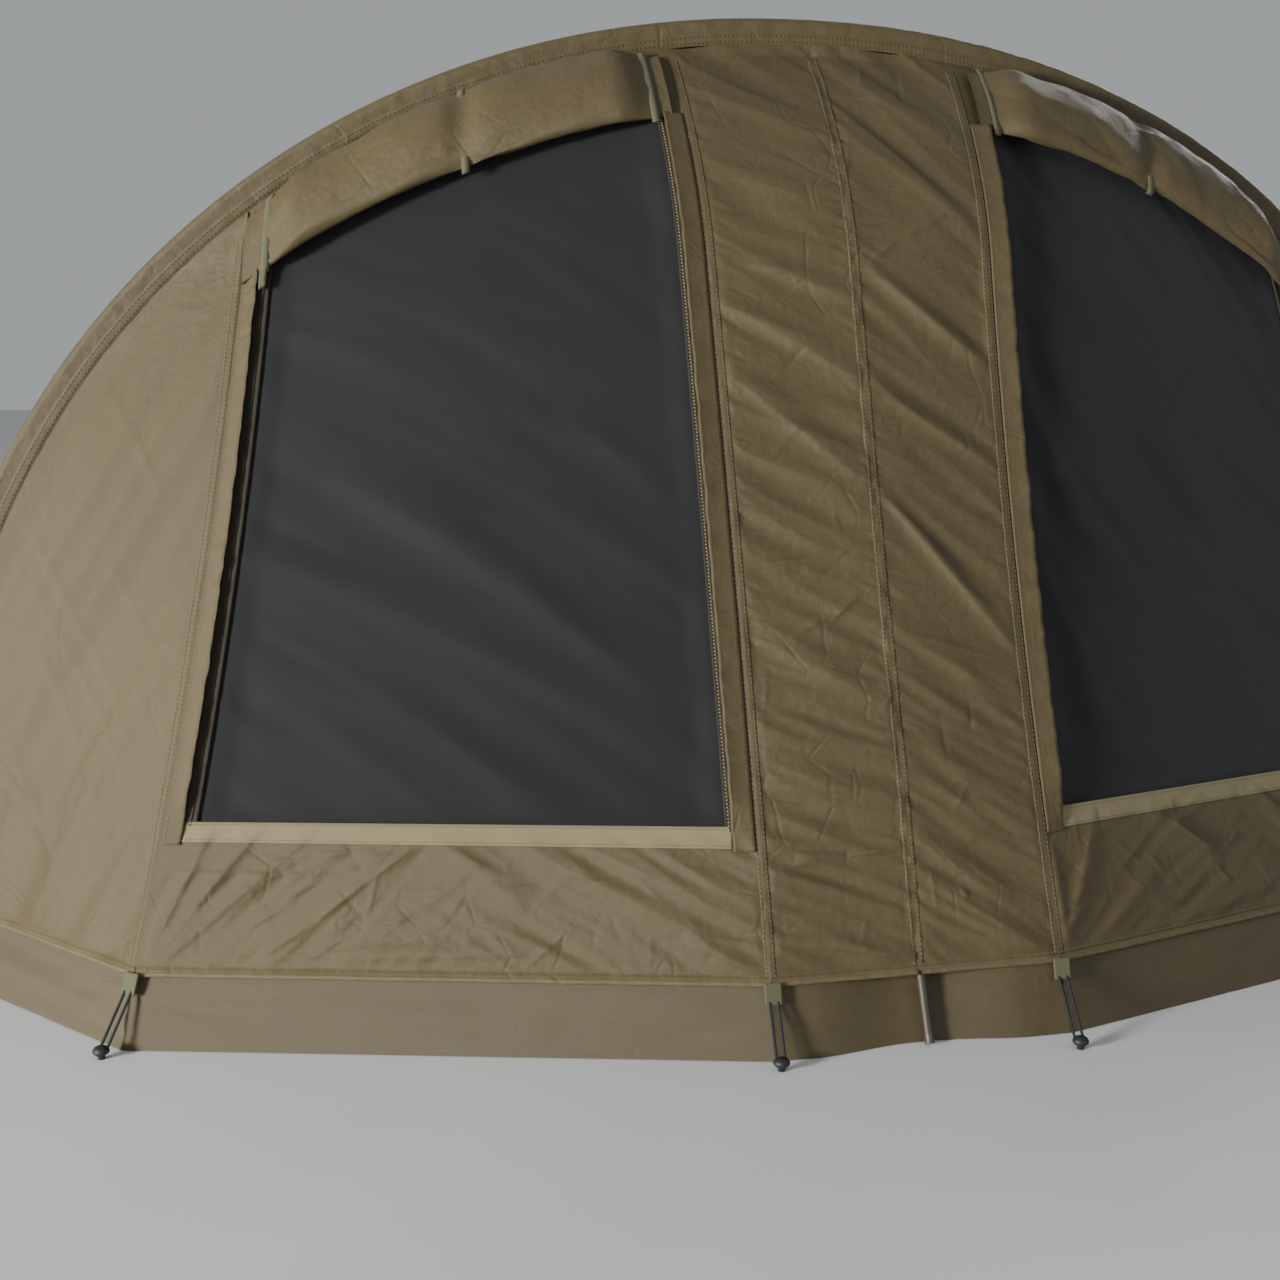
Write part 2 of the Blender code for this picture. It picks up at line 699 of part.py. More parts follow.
def hem_ring():
    """The hem's corners seen from above, from the front's middle round by the left to the rear."""
    foot = arch_angles()[:1]
    fin_front, fin_side = [sleeve_point(foot, turn)[0][:2] for turn in (0, 90)]
    rib = arch(RIB_SEAM, foot)[0][:2]
    return {
        "middle": np.array([0, INNER_CORNER[1]]),
        "inner": np.array([-INNER_CORNER[0], INNER_CORNER[1]]),
        "outer": np.array([-OUTER_CORNER[0], OUTER_CORNER[1]]),
        "rib": np.array([rib[0], rib[1]]),
        "front_rib": np.array([fin_side[0], fin_front[1]]),
        "middle_rib": np.array([-MIDDLE_ARCH[0], MIDDLE_ARCH[2]]),
        "rear_rib": np.array([-REAR_ARCH[0], REAR_ARCH[2]]),
        "rear": np.array([-REAR_CORNER[0], REAR_CORNER[1]]),
        "rear_middle": np.array([0, REAR_CORNER[1]]),
    }


def outwards_at(corners, i):
    """The mitred direction out of a corner, for an offset of 1."""
    here = corners[i]
    before = corners[i - 1] if i else here + (here - corners[1])
    after = corners[i + 1] if i + 1 < len(corners) else here + (here - corners[-2])
    first, second = unit(here - before), unit(after - here)
    out = [np.array([-d[1], d[0]]) for d in (first, second)]
    both = out[0] + out[1]
    return both / max(0.3, both @ out[0])


def skirt_rows(corners, names, spacing=0.25):
    """A strip from the hem down to the ground, along the named corners."""
    keys = list(corners)
    line = [corners[k] for k in keys]
    stations = []
    for a, b in zip(names, names[1:]):
        i, j = keys.index(a), keys.index(b)
        count = max(1, round(np.linalg.norm(line[j] - line[i]) / spacing))
        for k in range(count):
            share = k / count
            place = line[i] * (1 - share) + line[j] * share
            out = outwards_at(line, i) * (1 - share) + outwards_at(line, j) * share
            stations.append((place, out))
    last = keys.index(names[-1])
    stations.append((line[last], outwards_at(line, last)))
    bottom, top = [], []
    for place, out in stations:
        low = place + out * SKIRT_OUT
        bottom.append((*low, SKIRT_FLOOR - HEM_Z))
        top.append((*place, -SKIRT_DROP))
    rows = [bottom, [tuple((np.array(a) + b) / 2) for a, b in zip(bottom, top)], top]
    return np.array(rows)[:, ::-1]


def add_skirts():
    corners = hem_ring()
    grid = inset(skirt_rows(corners, ("inner", "outer")), FOLD_GAP, SEAM_GAP)
    sheet("skirt_front_left", grid, "skirt")
    sheet("skirt_front_right", mirrored(grid), "skirt")

    side = skirt_rows(corners, ("outer", "rib", "front_rib", "middle_rib", "rear_rib"))
    grid = inset(side, FOLD_GAP, FOLD_GAP)
    sheet("skirt_left", grid, "skirt")
    sheet("skirt_right", mirrored(grid), "skirt")

    rear = skirt_rows(corners, ("rear_rib", "rear", "rear_middle"))
    whole = np.concatenate([mirrored(rear)[:, :-1], rear], axis=1)
    sheet("skirt_rear", inset(whole, FOLD_GAP, FOLD_GAP), "skirt")

    columns = np.array([-0.26, -0.16, -0.08, -0.045, -0.022, 0, 0.022, 0.045, 0.08, 0.16, 0.26])
    rows = []
    for depth, h in (
        (-SKIRT_OUT, SKIRT_FLOOR - HEM_Z),
        (-SKIRT_OUT / 2, (SKIRT_FLOOR - HEM_Z - SKIRT_DROP) / 2),
        (0, -SKIRT_DROP),
    ):
        share = np.clip(1 - (np.abs(columns) / (2 * CREASE_WIDTH)), 0, 1)
        crease = POLE_CREASE * np.where(np.abs(columns) < 0.03, 1, share**1.5)
        reach = 1 + depth * 0.14 / INNER_CORNER[0] * -1
        rows.append(np.stack([columns * reach, depth + crease, np.full(11, h)], axis=1))
    sheet("skirt_front_centre", inset(np.array(rows), SEAM_GAP, SEAM_GAP), "skirt")


# Peg points


def add_peg_point(name, corner, peg, lean):
    """A webbing loop on the hem, a stretched elastic loop, and the head of the peg."""
    corner = np.array([*corner, 0.0])
    foot = np.array([peg[0], peg[1], -HEM_Z])
    flat = foot - corner
    flat[2] = 0
    ahead = unit(flat)
    across = np.array([-ahead[1], ahead[0], 0])
    down = unit(ahead * lean + np.array([0, 0, -1]))

    high = corner + ahead * (WEB_THICK + 0.0006) + np.array([0, 0, -0.0005])
    low = high + down * WEB_DROP
    face = unit(np.cross(across, down))
    ring = []
    for end in (high, low):
        loop = []
        for a, b in ((-1, -1), (1, -1), (1, 1), (-1, 1)):
            loop.append(end + across * a * WEB_WIDTH / 2 + face * b * WEB_THICK / 2)
        ring.append(loop)
    web = ring_solid("peg_point_" + name, ring, "peg_set")

    grip = PEG_NECK_RADIUS + BUNGEE_RADIUS * 0.6
    turn_height = np.array([0, 0, PEG_HEAD_LOW - BUNGEE_RADIUS * 0.5])
    path = []
    for degrees in (-90, -45, 0, 45, 90):
        t = math.radians(degrees)
        path.append(foot + turn_height + ahead * grip * math.cos(t) + across * grip * math.sin(t))
    for degrees in (90, 135, 180, 225, 270):
        t = math.radians(degrees)
        hold = low - down * 0.004
        path.append(hold + ahead * 0.005 * math.cos(t) + across * 0.007 * math.sin(t))
    bungee = as_mesh(tube("bungee_" + name, path, BUNGEE_RADIUS, "peg_set", True, 6))

    def disc(radius, low_z, high_z, top_radius, label):
        form = bmesh.new()
        bmesh.ops.create_cone(
            form, cap_ends=True, segments=12, radius1=radius, radius2=top_radius, depth=high_z - low_z
        )
        bmesh.ops.translate(form, verts=form.verts, vec=(0, 0, (high_z + low_z) / 2))
        mesh = bpy.data.meshes.new(label)
        form.to_mesh(mesh)
        form.free()
        made = new_object(label, mesh, "peg_set")
        made.location = placed(foot)
        return made

    neck = disc(PEG_NECK_RADIUS, 0, PEG_HEAD_LOW + 0.002, PEG_NECK_RADIUS, "neck_" + name)
    head = disc(
        PEG_HEAD_RADIUS, PEG_HEAD_LOW, PEG_HEAD_HIGH, PEG_HEAD_RADIUS * 0.55, "head_" + name
    )
    join(web, bungee)
    join(web, neck)
    join(web, head)


def add_peg_points():
    corners = hem_ring()
    for name, peg in {**FRONT_PEGS, **REAR_PEGS}.items():
        if name.startswith("front"):
            corner = corners["outer" if "outer" in name else "inner"]
        else:
            corner = corners["rear_rib" if "outer" in name else "rear"]
        side = 1 if name.endswith("right") else -1
        add_peg_point(name, (abs(corner[0]) * side, corner[1]), peg, 0.45)


add_window_panels()
add_window_meshes()
add_tapes()
add_flaps()
add_rolled_screens()
ridge = add_centre_panels()
add_gussets()
rib_paths = add_roof_and_ribs()
add_bars(*rib_paths)
add_pole(ridge)
add_skirts()
add_peg_points()
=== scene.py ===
"""The looks of a two-person fishing bivvy: fabric, seams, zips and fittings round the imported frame."""

import math

import bpy
import numpy as np
from mathutils import Matrix, Vector


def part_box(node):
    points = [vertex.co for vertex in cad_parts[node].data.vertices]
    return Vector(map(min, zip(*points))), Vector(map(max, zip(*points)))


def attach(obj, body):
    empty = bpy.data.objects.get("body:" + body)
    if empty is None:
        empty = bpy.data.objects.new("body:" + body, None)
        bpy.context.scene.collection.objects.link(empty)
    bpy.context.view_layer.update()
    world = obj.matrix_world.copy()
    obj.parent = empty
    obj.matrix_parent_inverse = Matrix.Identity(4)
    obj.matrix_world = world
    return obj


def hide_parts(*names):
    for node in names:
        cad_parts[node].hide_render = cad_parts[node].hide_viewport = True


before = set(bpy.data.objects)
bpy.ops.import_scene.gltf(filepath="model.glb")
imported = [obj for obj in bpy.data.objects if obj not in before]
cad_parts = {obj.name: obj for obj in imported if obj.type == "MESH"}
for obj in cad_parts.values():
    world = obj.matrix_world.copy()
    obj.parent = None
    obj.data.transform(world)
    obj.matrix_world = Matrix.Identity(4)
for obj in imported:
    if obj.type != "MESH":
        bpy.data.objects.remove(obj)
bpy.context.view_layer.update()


# The three ribs and the two spreader bars are aluminium tubes with a satin olive-brown coating.
# They lie inside the fabric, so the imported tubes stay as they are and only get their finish.


class Wire:
    """One value or colour inside a material, so that shader maths reads as plain expressions."""

    def __init__(self, tree, socket=None):
        self.tree = tree
        self.socket = socket

    def node(self, kind, settings=None, inputs=None, output=0):
        """Adds any node: its settings are set first, then the values or links of its sockets."""
        made = self.tree.nodes.new("ShaderNode" + kind)
        for name, value in (settings or {}).items():
            if name == "stops":
                for stop, (place, colour) in zip(made.color_ramp.elements, value):
                    stop.position = place
                    stop.color = colour
            else:
                setattr(made, name, value)
        for name, value in (inputs or {}).items():
            if isinstance(value, Wire):
                self.tree.links.new(value.socket, made.inputs[name])
            else:
                made.inputs[name].default_value = value
        return Wire(self.tree, made.outputs[output])

    def maths(self, operation, *values):
        return self.node("Math", {"operation": operation}, dict(enumerate(values)))

    def __add__(self, other):
        return self.maths("ADD", self, other)

    def __sub__(self, other):
        return self.maths("SUBTRACT", self, other)

    def __mul__(self, other):
        return self.maths("MULTIPLY", self, other)

    def __rsub__(self, other):
        return self.maths("SUBTRACT", other, self)

    __radd__ = __add__
    __rmul__ = __mul__

    def wave(self):
        return self.maths("SINE", self)

    def between(self, low, high):
        """0 below low, 1 above high, and a smooth step between them."""
        settings = {"interpolation_type": "SMOOTHSTEP"}
        return self.node("MapRange", settings, {"Value": self, "From Min": low, "From Max": high})

    def scaled(self, x, y, z):
        settings = {"operation": "MULTIPLY"}
        return self.node("VectorMath", settings, {0: self, 1: (x, y, z)})

    def noise(self, scale, detail=2.0, roughness=0.5):
        sizes = {"Vector": self, "Scale": scale, "Detail": detail, "Roughness": roughness}
        return self.node("TexNoise", {}, sizes)

    def blend(self, first, second):
        """The first colour where this is 0 and the second where it is 1."""
        return self.node("Mix", {"data_type": "RGBA"}, {0: self, 6: first, 7: second}, 2)

    def part(self, axis):
        return self.node("SeparateXYZ", {}, {0: self}, axis)


def begin(name, **fixed):
    """A new Principled material, the shader's sockets that don't vary, and a wire to start from."""
    made = bpy.data.materials.new(name)
    made.use_nodes = True
    shader = made.node_tree.nodes["Principled BSDF"]
    for socket, value in fixed.items():
        shader.inputs[socket.replace("_", " ")].default_value = value
    return made, shader, Wire(made.node_tree)


def feed(shader, **wires):
    """Connects wires to the shader's sockets."""
    for socket, wire in wires.items():
        wire.tree.links.new(wire.socket, shader.inputs[socket.replace("_", " ")])


def opaque(colour):
    return (*colour, 1)


def tube_finish(name, colour, worn, rough):
    """Satin coating on aluminium, with fine drawn lines and a few rubbed patches."""
    made, shader, start = begin(name, Metallic=0.45)
    place = start.node("TexCoord", output=3)
    lines = place.scaled(900, 900, 40).noise(1.0, 3)
    rubbed = place.noise(22, 4, 0.6).between(0.58, 0.72)
    feed(shader, Base_Color=rubbed.blend(opaque(colour), opaque(worn)))
    feed(shader, Roughness=lines * 0.16 + rubbed * -0.08 + rough)
    bump = start.node("Bump", {}, {"Strength": 0.3, "Distance": 0.0002, "Height": lines})
    feed(shader, Normal=bump)
    return made


rib_coating = tube_finish("rib_coating", (0.070, 0.062, 0.048), (0.20, 0.19, 0.17), 0.30)
for name in ("front_rib", "middle_rib", "rear_rib", "left_spreader_bar", "right_spreader_bar"):
    for tube_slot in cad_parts[name].material_slots:
        tube_slot.material = rib_coating


# The gussets are the two tapered side panels of the front, between the front rib and the outer
# seams. They are cut from olive polyester with a coating inside, and hang nearly smooth.

HEM = np.array([0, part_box("centre_panel_left")[0].y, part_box("left_window_panel")[0].z])
ARCH_POWER = 2.13
RIB_SEAM = (1.632, 1.60, 0.775, 0.086)  # half width, height, the foot's depth, lean per metre
OUTER_SEAM_TOP = 1.272
GUSSET_TOP = 1.259


def unit(v):
    return v / np.maximum(np.linalg.norm(v, axis=-1, keepdims=True), 1e-9)


def run_along(points):
    """Metres along a line of points, from its first one."""
    return np.concatenate([[0], np.cumsum(np.linalg.norm(np.diff(points, axis=0), axis=1))])


def facing(grid):
    """The outward direction at each point of a grid whose rows run up and columns to the right."""
    return unit(np.cross(np.gradient(grid, axis=1), np.gradient(grid, axis=0)))


def mirrored(grid):
    """The same grid on the other side of the bivvy, still facing out."""
    return (grid * np.array([-1, 1, 1]))[:, ::-1]


def arch(sizes, angles):
    """Points along an arch, from its left foot at angle 0 to its right foot at pi."""
    half, height, depth, lean = sizes
    c, s = np.cos(angles), np.maximum(np.sin(angles), 0)
    x = -half * np.sign(c) * np.abs(c) ** (2 / ARCH_POWER)
    h = height * s ** (2 / ARCH_POWER)
    return np.stack([x, depth - lean * h, h], axis=-1)


def arch_at(sizes, h):
    """How far from the middle an arch is at height h, and its depth there."""
    half, height, depth, lean = sizes
    x = half * np.maximum(1 - (h / height) ** ARCH_POWER, 0) ** (1 / ARCH_POWER)
    return x, depth - lean * h


def arch_height(sizes, x):
    return sizes[1] * np.maximum(1 - (np.abs(x) / sizes[0]) ** ARCH_POWER, 0) ** (1 / ARCH_POWER)


def outer_seam(h):
    """The seam between gusset and window panel on the left side, at height h over the hem."""
    return np.stack([-(1.28 - 0.241 * h + 0.0437 * h**2), 0.295 + 0.288 * h, h], axis=-1)


def noise(x, y, seed):
    """Smooth noise over a plane, about one lump for each unit of x and y, from -0.7 to 0.7."""
    turn = np.random.default_rng(seed).uniform(0, 2 * math.pi, (64, 64))
    low_x, low_y = np.floor(x).astype(int), np.floor(y).astype(int)
    total = 0
    for i in (0, 1):
        for j in (0, 1):
            dx, dy = x - low_x - i, y - low_y - j
            angle = turn[(low_x + i) % 64, (low_y + j) % 64]
            near_x, near_y = 1 - np.abs(dx), 1 - np.abs(dy)
            share = near_x**3 * (near_x * (near_x * 6 - 15) + 10)
            share = share * near_y**3 * (near_y * (near_y * 6 - 15) + 10)
            total = total + share * (dx * np.cos(angle) + dy * np.sin(angle))
    return total


def streaks(x, y, slope, width, length, seed):
    """Long folds that run at slope degrees, each about width wide and length long."""
    a = math.radians(slope)
    along = x * math.cos(a) + y * math.sin(a)
    across = y * math.cos(a) - x * math.sin(a)
    wave = noise(across / width, along / length, seed)
    return 0.22 - np.sqrt(wave**2 + 0.0012) + 0.45 * wave


def folds(x, y, lines, sharp=False):
    """Single folds, each (x0, y0, x1, y1, width, height), raised or pressed in along its line."""
    total = np.zeros_like(x + y)
    for x0, y0, x1, y1, width, height in lines:
        length = math.hypot(x1 - x0, y1 - y0)
        along = ((x - x0) * (x1 - x0) + (y - y0) * (y1 - y0)) / length**2
        away = ((x - x0) * (y1 - y0) - (y - y0) * (x1 - x0)) / (length * width)
        ends = np.clip(4 * along * (1 - along), 0, 1) ** 0.8
        if sharp:
            profile = np.exp(-np.abs(away))
        else:
            steep = np.exp(-1.5 * np.sqrt(away**2 + 0.02) + 0.2)
            profile = np.where(away > 0, steep, np.exp(-((away / 1.5) ** 2)))
        total += height * ends * profile
    return total


def creases(x, y, count, area, size, seed, slope=None):
    """Small sharp creases left by packing, scattered over area (x0, y0, x1, y1)."""
    draw = np.random.default_rng(seed)
    lines = []
    for _ in range(count):
        x0, y0 = draw.uniform(area[0], area[2]), draw.uniform(area[1], area[3])
        turn = math.radians(draw.normal(slope, 22)) if slope is not None else draw.uniform(0, math.pi)
        length = draw.uniform(0.03, 0.11)
        height = size * draw.uniform(0.4, 1.0) * draw.choice((-1, 1))
        end = (x0 + length * math.cos(turn), y0 + length * math.sin(turn))
        lines.append((x0, y0, *end, draw.uniform(0.003, 0.006), height))
    return folds(x, y, lines, sharp=True)


def edge(distance, reach):
    """0 at an edge and 1 from reach inwards, smoothly."""
    t = np.clip(distance / reach, 0, 1)
    return t * t * (3 - 2 * t)


def skin(name, points, finish, nodes=(), hole=None, thickness=0.0):
    """A piece over a grid of points, with its lengths in metres as UV map; a thick one is closed."""
    rows, columns = points.shape[:2]
    index = np.arange(rows * columns).reshape(rows, columns)
    faces = np.stack([index[:-1, :-1], index[:-1, 1:], index[1:, 1:], index[1:, :-1]], axis=2)
    faces = faces[~hole] if hole is not None else faces.reshape(-1, 4)
    places = (points + HEM).reshape(-1, 3)
    steps_up = np.linalg.norm(np.diff(points, axis=0), axis=2).mean(axis=1)
    steps_along = np.linalg.norm(np.diff(points, axis=1), axis=2).mean(axis=0)
    v = np.concatenate([[0], np.cumsum(steps_up)])
    u = np.concatenate([[0], np.cumsum(steps_along)])
    flat = np.stack(np.meshgrid(u, v), axis=2).reshape(-1, 2)
    if thickness:
        inner = (points + HEM - facing(points) * thickness).reshape(-1, 3)
        rim = np.concatenate([index[0, :-1], index[:-1, -1], index[-1, :0:-1], index[:0:-1, 0]])
        ahead = np.roll(rim, -1)
        count = rows * columns
        sides = np.stack([ahead, rim, rim + count, ahead + count], axis=1)
        faces = np.concatenate([faces, faces[:, ::-1] + count, sides])
        places = np.concatenate([places, inner])
        flat = np.concatenate([flat, flat])
    used = np.unique(faces)
    renumbered = np.zeros(len(places), int)
    renumbered[used] = np.arange(len(used))
    faces = renumbered[faces]
    mesh = bpy.data.meshes.new(name)
    mesh.from_pydata(places[used].tolist(), [], faces.tolist())
    mesh.uv_layers.new(name="cut").data.foreach_set("uv", flat[used][faces.ravel()].ravel())
    return piece_of(name, mesh, finish, nodes)


def piece_of(name, mesh, finish, nodes=()):
    """Puts a finished mesh in the scene, and hides the imported parts that it stands in for."""
    mesh.shade_smooth()
    mesh.materials.append(finish)
    piece = bpy.data.objects.new(name, mesh)
    bpy.context.scene.collection.objects.link(piece)
    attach(piece, "root")
    if nodes:
        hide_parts(*nodes)
    return piece


def sew(name, lines, pitch, size, finish, tilt=0.0, zigzag=False, shift=0.5):
    """Stitches of thread along lines of (points, outward directions), in one mesh."""
    shape = [(-0.5, 0, -0.4)]
    for a in (-0.26, 0.26):
        shape += [(a, -0.5, 0), (a, 0, 0.5), (a, 0.5, 0), (a, 0, -0.5)]
    shape = (np.array(shape + [(0.5, 0, -0.4)])) * np.array(size)
    closed = [(0, j, j % 4 + 1) for j in range(1, 5)]
    closed += [(9, j % 4 + 5, j + 4) for j in range(1, 5)]
    closed += [(j, j + 4, j % 4 + 5, j % 4 + 1) for j in range(1, 5)]
    places, faces = [], []
    for points, outs in lines:
        run = run_along(points)
        at = np.arange(shift, int(run[-1] / pitch)) * pitch
        ahead = unit(np.gradient(points, axis=0))
        base, out, along = (
            np.stack([np.interp(at, run, values[:, k]) for k in range(3)], axis=1)
            for values in (points, outs, ahead)
        )
        across = unit(np.cross(out, along))
        turn = np.full((len(at), 1), math.radians(tilt))
        if zigzag:
            turn[1::2] *= -1
        first = along * np.cos(turn) + across * np.sin(turn)
        second = across * np.cos(turn) - along * np.sin(turn)
        axes = np.stack([first, second, unit(out)], axis=1)
        made = base[:, None] + np.einsum("kj,njc->nkc", shape, axes)
        for points_of_stitch in made:
            start = 10 * len(places)
            places.append(points_of_stitch + HEM)
            faces += [tuple(start + i for i in face) for face in closed]
    mesh = bpy.data.meshes.new(name)
    mesh.from_pydata(np.concatenate(places).tolist(), [], faces)
    return piece_of(name, mesh, finish)


def stitch_rows(name, lines, pitch, tilt=22.0):
    """Rows of stitches: raised pale thread, and between them dark marks, painted shade of the hollows it
    sinks into.
    """
    size = (pitch * 0.70, 0.0017, 0.0018)
    sew(f"{name}_stitches", lines, pitch, size, pale_thread, tilt, True)
    # These dark flat marks are painted shade of the hollows where the thread sinks in.
    size = (pitch * 0.42, 0.0024, 0.0009)
    sew(f"{name}_dimple_shade", lines, pitch, size, dark_thread_and_dimple_shade, 0, False, 1.0)


def seam_lines(grid, columns):
    """Some of a grid's columns, with the outward directions along them."""
    outs = facing(grid)
    return [(grid[:, j], outs[:, j]) for j in columns]


def thread_finish(name, colour):
    """Twisted sewing thread."""
    made, shader, start = begin(name, Specular_IOR_Level=0.3)
    place = start.node("TexCoord", output=3)
    twist = place.noise(900, 2)
    shader.inputs["Base Color"].default_value = opaque(colour)
    feed(shader, Roughness=twist * 0.2 + 0.6)
    feed(shader, Normal=start.node("Bump", {}, {"Strength": 0.4, "Distance": 0.0002, "Height": twist}))
    return made


def cloth_finish(name, colour, shade, rough=0.50, sheen=0.04, crumple=1.0, weave=0.0008):
    """Woven polyester: fine threads, soft uneven colour and faint creases."""
    made, shader, start = begin(
        name, Sheen_Weight=sheen, Sheen_Roughness=0.5, Specular_IOR_Level=0.35
    )
    cut = start.node("UVMap", {"uv_map": "cut"})
    place = start.node("TexCoord", output=3)
    across = (cut.part(0) * (2 * math.pi / weave)).wave()
    up = (cut.part(1) * (2 * math.pi / weave)).wave()
    threads = across * up
    slubs = cut.scaled(420, 12, 1).noise(1.0, 2) + cut.scaled(12, 420, 1).noise(1.0, 2)
    patches = place.noise(2.3, 3, 0.55)
    mottle = place.noise(38, 3, 0.6)
    tone = (patches * 0.6 + mottle * 0.25 + slubs * 0.12 - 0.02).between(0.25, 0.80)
    feed(shader, Base_Color=tone.blend(opaque(shade), opaque(colour)))
    feed(shader, Roughness=patches * 0.12 + mottle * 0.08 + (rough - 0.10))
    edges = {"feature": "DISTANCE_TO_EDGE"}
    network = place.node("TexVoronoi", edges, {"Vector": place, "Scale": 13.0, "Randomness": 1.0})
    shown = place.noise(6.5, 1).between(0.48, 0.66)
    pressed = (1 - network.between(0.0, 0.07)) * shown
    dents = place.noise(55, 4, 0.55) + cut.scaled(16, 60, 1).noise(1.0, 3) * 0.4
    bump = start.node("Bump", {}, {"Strength": 0.35, "Distance": 0.0004, "Height": threads})
    height = dents * 0.0016 * crumple + pressed * -0.0006 * crumple
    settings = {"Strength": 1.0, "Distance": 1.0, "Height": height, "Normal": bump}
    feed(shader, Normal=start.node("Bump", {}, settings))
    return made


SHELL = (0.087, 0.0655, 0.0265)
SHELL_SHADE = (0.068, 0.051, 0.020)
shell_cloth = cloth_finish("shell_cloth", SHELL, SHELL_SHADE)


def gusset_point(across, h):
    """The left gusset: across runs from the rib's seam at 0 to the outer seam at 1."""
    x, depth = arch_at(RIB_SEAM, h)
    rib = np.stack([-x, depth, h], axis=-1)
    return rib + (outer_seam(h) - rib) * across[..., None]


def gusset_width(h):
    return np.linalg.norm(gusset_point(np.zeros_like(h), h) - outer_seam(h), axis=-1)


def gusset_folds(s, h):
    """Long faint creases, and small puckers beside the rib's seam; s is from the outer seam."""
    width = gusset_width(h)
    inside = edge(s, 0.03) * edge(width - s, 0.03) * edge(h, 0.03)
    soft = 0.016 * streaks(s, h, 112, 0.14, 1.3, 11) + 0.007 * streaks(s, h, 120, 0.07, 0.9, 12)
    long_lines = (
        (0.42, 0.78, 0.10, 0.36, 0.006, 0.0016),
        (0.36, 0.56, 0.06, 0.10, 0.007, 0.0014),
        (0.50, 0.52, 0.20, 0.05, 0.008, 0.0016),
        (0.26, 1.00, 0.05, 0.70, 0.006, 0.0012),
        (0.36, 0.62, 0.13, 0.34, 0.005, 0.0016),
        (0.20, 0.66, 0.07, 0.50, 0.004, 0.0014),
        (0.16, 0.50, 0.07, 0.60, 0.005, -0.0012),
        (0.43, 0.34, 0.30, 0.22, 0.006, 0.0020),
        (0.40, 0.26, 0.22, 0.13, 0.006, 0.0018),
        (0.30, 0.86, 0.16, 1.02, 0.005, 0.0014),
        (0.38, 0.95, 0.20, 1.12, 0.005, 0.0012),
    )
    fine = creases(s, h, 46, (0.02, 0.02, 0.5, 1.1), 0.0018, 13, 125)
    puckers = 0.0016 * streaks(s, h, 35, 0.022, 0.09, 14) * (1 - edge(width - s, 0.09))
    return (soft + 2.6 * folds(s, h, long_lines, sharp=True) + fine) * inside + puckers * edge(h, 0.03)


def gusset_surface(s, h, lift=0.0):
    """Points of the left gusset with its folds, s metres from the outer seam."""
    width = gusset_width(h)
    flat = gusset_point(1 - s / np.maximum(width, 1e-6), h)
    return flat + facing(flat) * (lift + gusset_folds(s, h))[..., None]


heights = np.linspace(0, OUTER_SEAM_TOP - 0.001, 170)
across, h = np.meshgrid(np.linspace(0, 1, 72), heights)
smooth = gusset_point(across, h)
width = np.linalg.norm(smooth[:, 0] - smooth[:, -1], axis=1)[:, None]
s = (1 - across) * width
gusset = smooth + facing(smooth) * gusset_folds(s, h)[..., None]
for side, grid in (("left", gusset), ("right", mirrored(gusset))):
    piece = skin(f"{side}_gusset_cloth", grid, shell_cloth, (f"{side}_gusset",))

# The gusset's edge is folded over the outer seam and stitched down twice.
# The dark thread also colours the painted shade of the stitches' hollows.
dark_thread_and_dimple_shade = thread_finish("dark_thread_and_dimple_shade", (0.026, 0.020, 0.009))
pale_thread = thread_finish("pale_thread", (0.125, 0.106, 0.050))
band_across = np.array([0.0165, 0.0158, 0.0130, 0.0100, 0.0070, 0.0040, 0.0018, 0.0007])
band_lift = np.array([0.0000, 0.0009, 0.0010, 0.0013, 0.0013, 0.0010, 0.0010, 0.0001])
h = np.arange(0.012, GUSSET_TOP - 0.03, 0.0035)[:, None]
s = np.minimum(band_across, gusset_width(h) * 0.9)
pucker = 0.0009 * noise(h / 0.0085, s / 0.012, 15) * (band_lift > 0.001)
band = gusset_surface(s, np.broadcast_to(h, s.shape), band_lift + pucker)
for side, grid in (("left", band), ("right", mirrored(band))):
    skin(f"{side}_outer_seam_band", grid, shell_cloth)
    stitch_rows(f"{side}_outer_seam", seam_lines(grid, (2, 5)), 0.0078)


# The window panels stand on both sides of the front's middle. Each is one piece of polyester with
# a large window cut through it, sewn to the gusset, the middle panel and the rib's sleeve.

INNER_SEAM_TOP = 1.58
WINDOW_BOTTOM = 0.232
WINDOW_OUTER = 0.056  # from the outer seam
WINDOW_INNER = 0.057  # from the inner seam
WINDOW_TOP = 0.085  # down from the rib's seam
LEVEL_PART = 0.16  # the share of the rows that lies below the window


def front_depth(h):
    """How far back the middle of the front lies at height h."""
    return 0.382 * h - 0.040 * h**2 + 0.135 * np.clip((h - 1.2) / 0.38, 0, 1) ** 2


def inner_seam(h):
    """The seam between the left window panel and the middle panel."""
    return np.stack([-(0.2615 - 0.022 * h + 0.020 * h**2), front_depth(h), h], axis=-1)


def rib_seam_between(share):
    """The rib's seam, from the outer seam's top to the inner seam's top."""
    first = -arch_at(RIB_SEAM, OUTER_SEAM_TOP)[0]
    last = inner_seam(np.float64(INNER_SEAM_TOP))[0]
    x = first * (1 - share) + last * share
    h = arch_height(RIB_SEAM, x)
    return np.stack([x, RIB_SEAM[2] - RIB_SEAM[3] * h, h], axis=-1)


def risen(up):
    return np.clip((up - LEVEL_PART) / (1 - LEVEL_PART), 0, 1)


def seam_height(up, top):
    """How high a row of the front meets a seam that ends at top."""
    return WINDOW_BOTTOM * np.clip(up / LEVEL_PART, 0, 1) + risen(up) * (top - WINDOW_BOTTOM)


